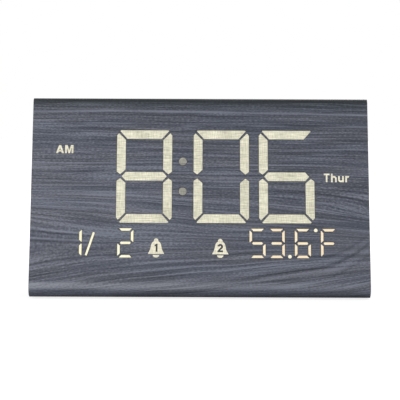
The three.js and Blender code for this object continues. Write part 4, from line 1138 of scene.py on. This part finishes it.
def seen_directly(tree, gloss=1.0):
    """1 for rays from the camera, the given share for those from gloss or glass, 0 for other light."""
    path = tree.nodes.new("ShaderNodeLightPath")
    result = path.outputs["Is Camera Ray"]
    for name in ("Is Glossy Ray", "Is Transmission Ray"):
        share = tree.nodes.new("ShaderNodeMath")
        share.operation = "MULTIPLY"
        feed(tree, share.inputs[0], path.outputs[name])
        feed(tree, share.inputs[1], gloss)
        either = tree.nodes.new("ShaderNodeMath")
        either.operation = "MAXIMUM"
        feed(tree, either.inputs[0], result)
        feed(tree, either.inputs[1], share.outputs[0])
        result = either.outputs[0]
    return result


def make_floor():
    work = bmesh.new()
    bmesh.ops.create_circle(work, cap_ends=True, segments=FLOOR_STEPS, radius=FLOOR_RADIUS)
    mesh = mesh_of(work, "floor")
    floor = bpy.data.objects.new("floor", mesh)
    SCENE.collection.objects.link(floor)
    pale = Finish("floor_pale", roughness=0.9)
    distance = pale.add("ShaderNodeVectorMath", operation="LENGTH")
    pale.feed(distance.inputs[0], pale.place)
    lift = pale.span(distance.outputs["Value"], *LIFT_REACH, NEAR_LIFT, FAR_LIFT)
    clear = pale.span(pale.math("ABSOLUTE", pale.y), *SHADE_REACH, SHADED, 1.0)
    pale.set(
        Base_Color=FLOOR_COLOUR, Specular_IOR_Level=0.0, Emission_Color=WHITE,
        Emission_Strength=pale.math("MULTIPLY", lift, seen_directly(pale.tree, clear)),
    )
    mesh.materials.append(pale.material)


def make_world():
    world = bpy.data.worlds.new("studio")
    SCENE.world = world
    world.use_nodes = True
    tree = world.node_tree
    background = tree.nodes["Background"]
    background.inputs["Color"].default_value = WHITE
    strength = tree.nodes.new("ShaderNodeMapRange")
    strength.inputs["To Min"].default_value = AMBIENT
    feed(tree, strength.inputs["Value"], seen_directly(tree))
    feed(tree, background.inputs["Strength"], strength.outputs[0])


make_floor()
make_world()

# Lamps with their places, sizes and powers, and a camera fitted to the photograph's outline

LAMP_AIM = Vector((0, 0, 0.05))
LAMPS = (
    ("key_light", (-0.9, -0.75, 0.22), (0.8, 0.6), 8.5),
    ("fill_light", (0.7, -1.0, 0.4), (0.9, 0.7), 1.8),
    ("rear_light", (0.5, 1.0, 0.7), (0.9, 0.9), 5.0),
)
LENS = 133.24
SENSOR_WIDTH = 36.0
DISTANCE = 0.9321
ELEVATION = math.radians(3)
TARGET = Vector((0, 0, 0.05966))
ROLL = 0.003957


def make_lamp(name, place, size, power):
    data = bpy.data.lights.new(name, "AREA")
    data.shape = "RECTANGLE"
    data.size, data.size_y = size
    data.energy = power
    lamp = bpy.data.objects.new(name, data)
    lamp.location = place
    lamp.rotation_euler = (LAMP_AIM - Vector(place)).to_track_quat("-Z", "Y").to_euler()
    SCENE.collection.objects.link(lamp)


def make_camera():
    camera = bpy.data.objects.new("camera", bpy.data.cameras.new("camera"))
    camera.data.lens = LENS
    camera.data.sensor_width = SENSOR_WIDTH
    away = Vector((0, -math.cos(ELEVATION), math.sin(ELEVATION)))
    camera.matrix_world = (
        Matrix.Translation(TARGET + away * DISTANCE)
        @ Matrix.Rotation(math.pi / 2 - ELEVATION, 4, "X") @ Matrix.Rotation(ROLL, 4, "Z")
    )
    SCENE.collection.objects.link(camera)
    SCENE.camera = camera


for lamp in LAMPS:
    make_lamp(*lamp)
make_camera()
SCENE.view_settings.view_transform = "Standard"
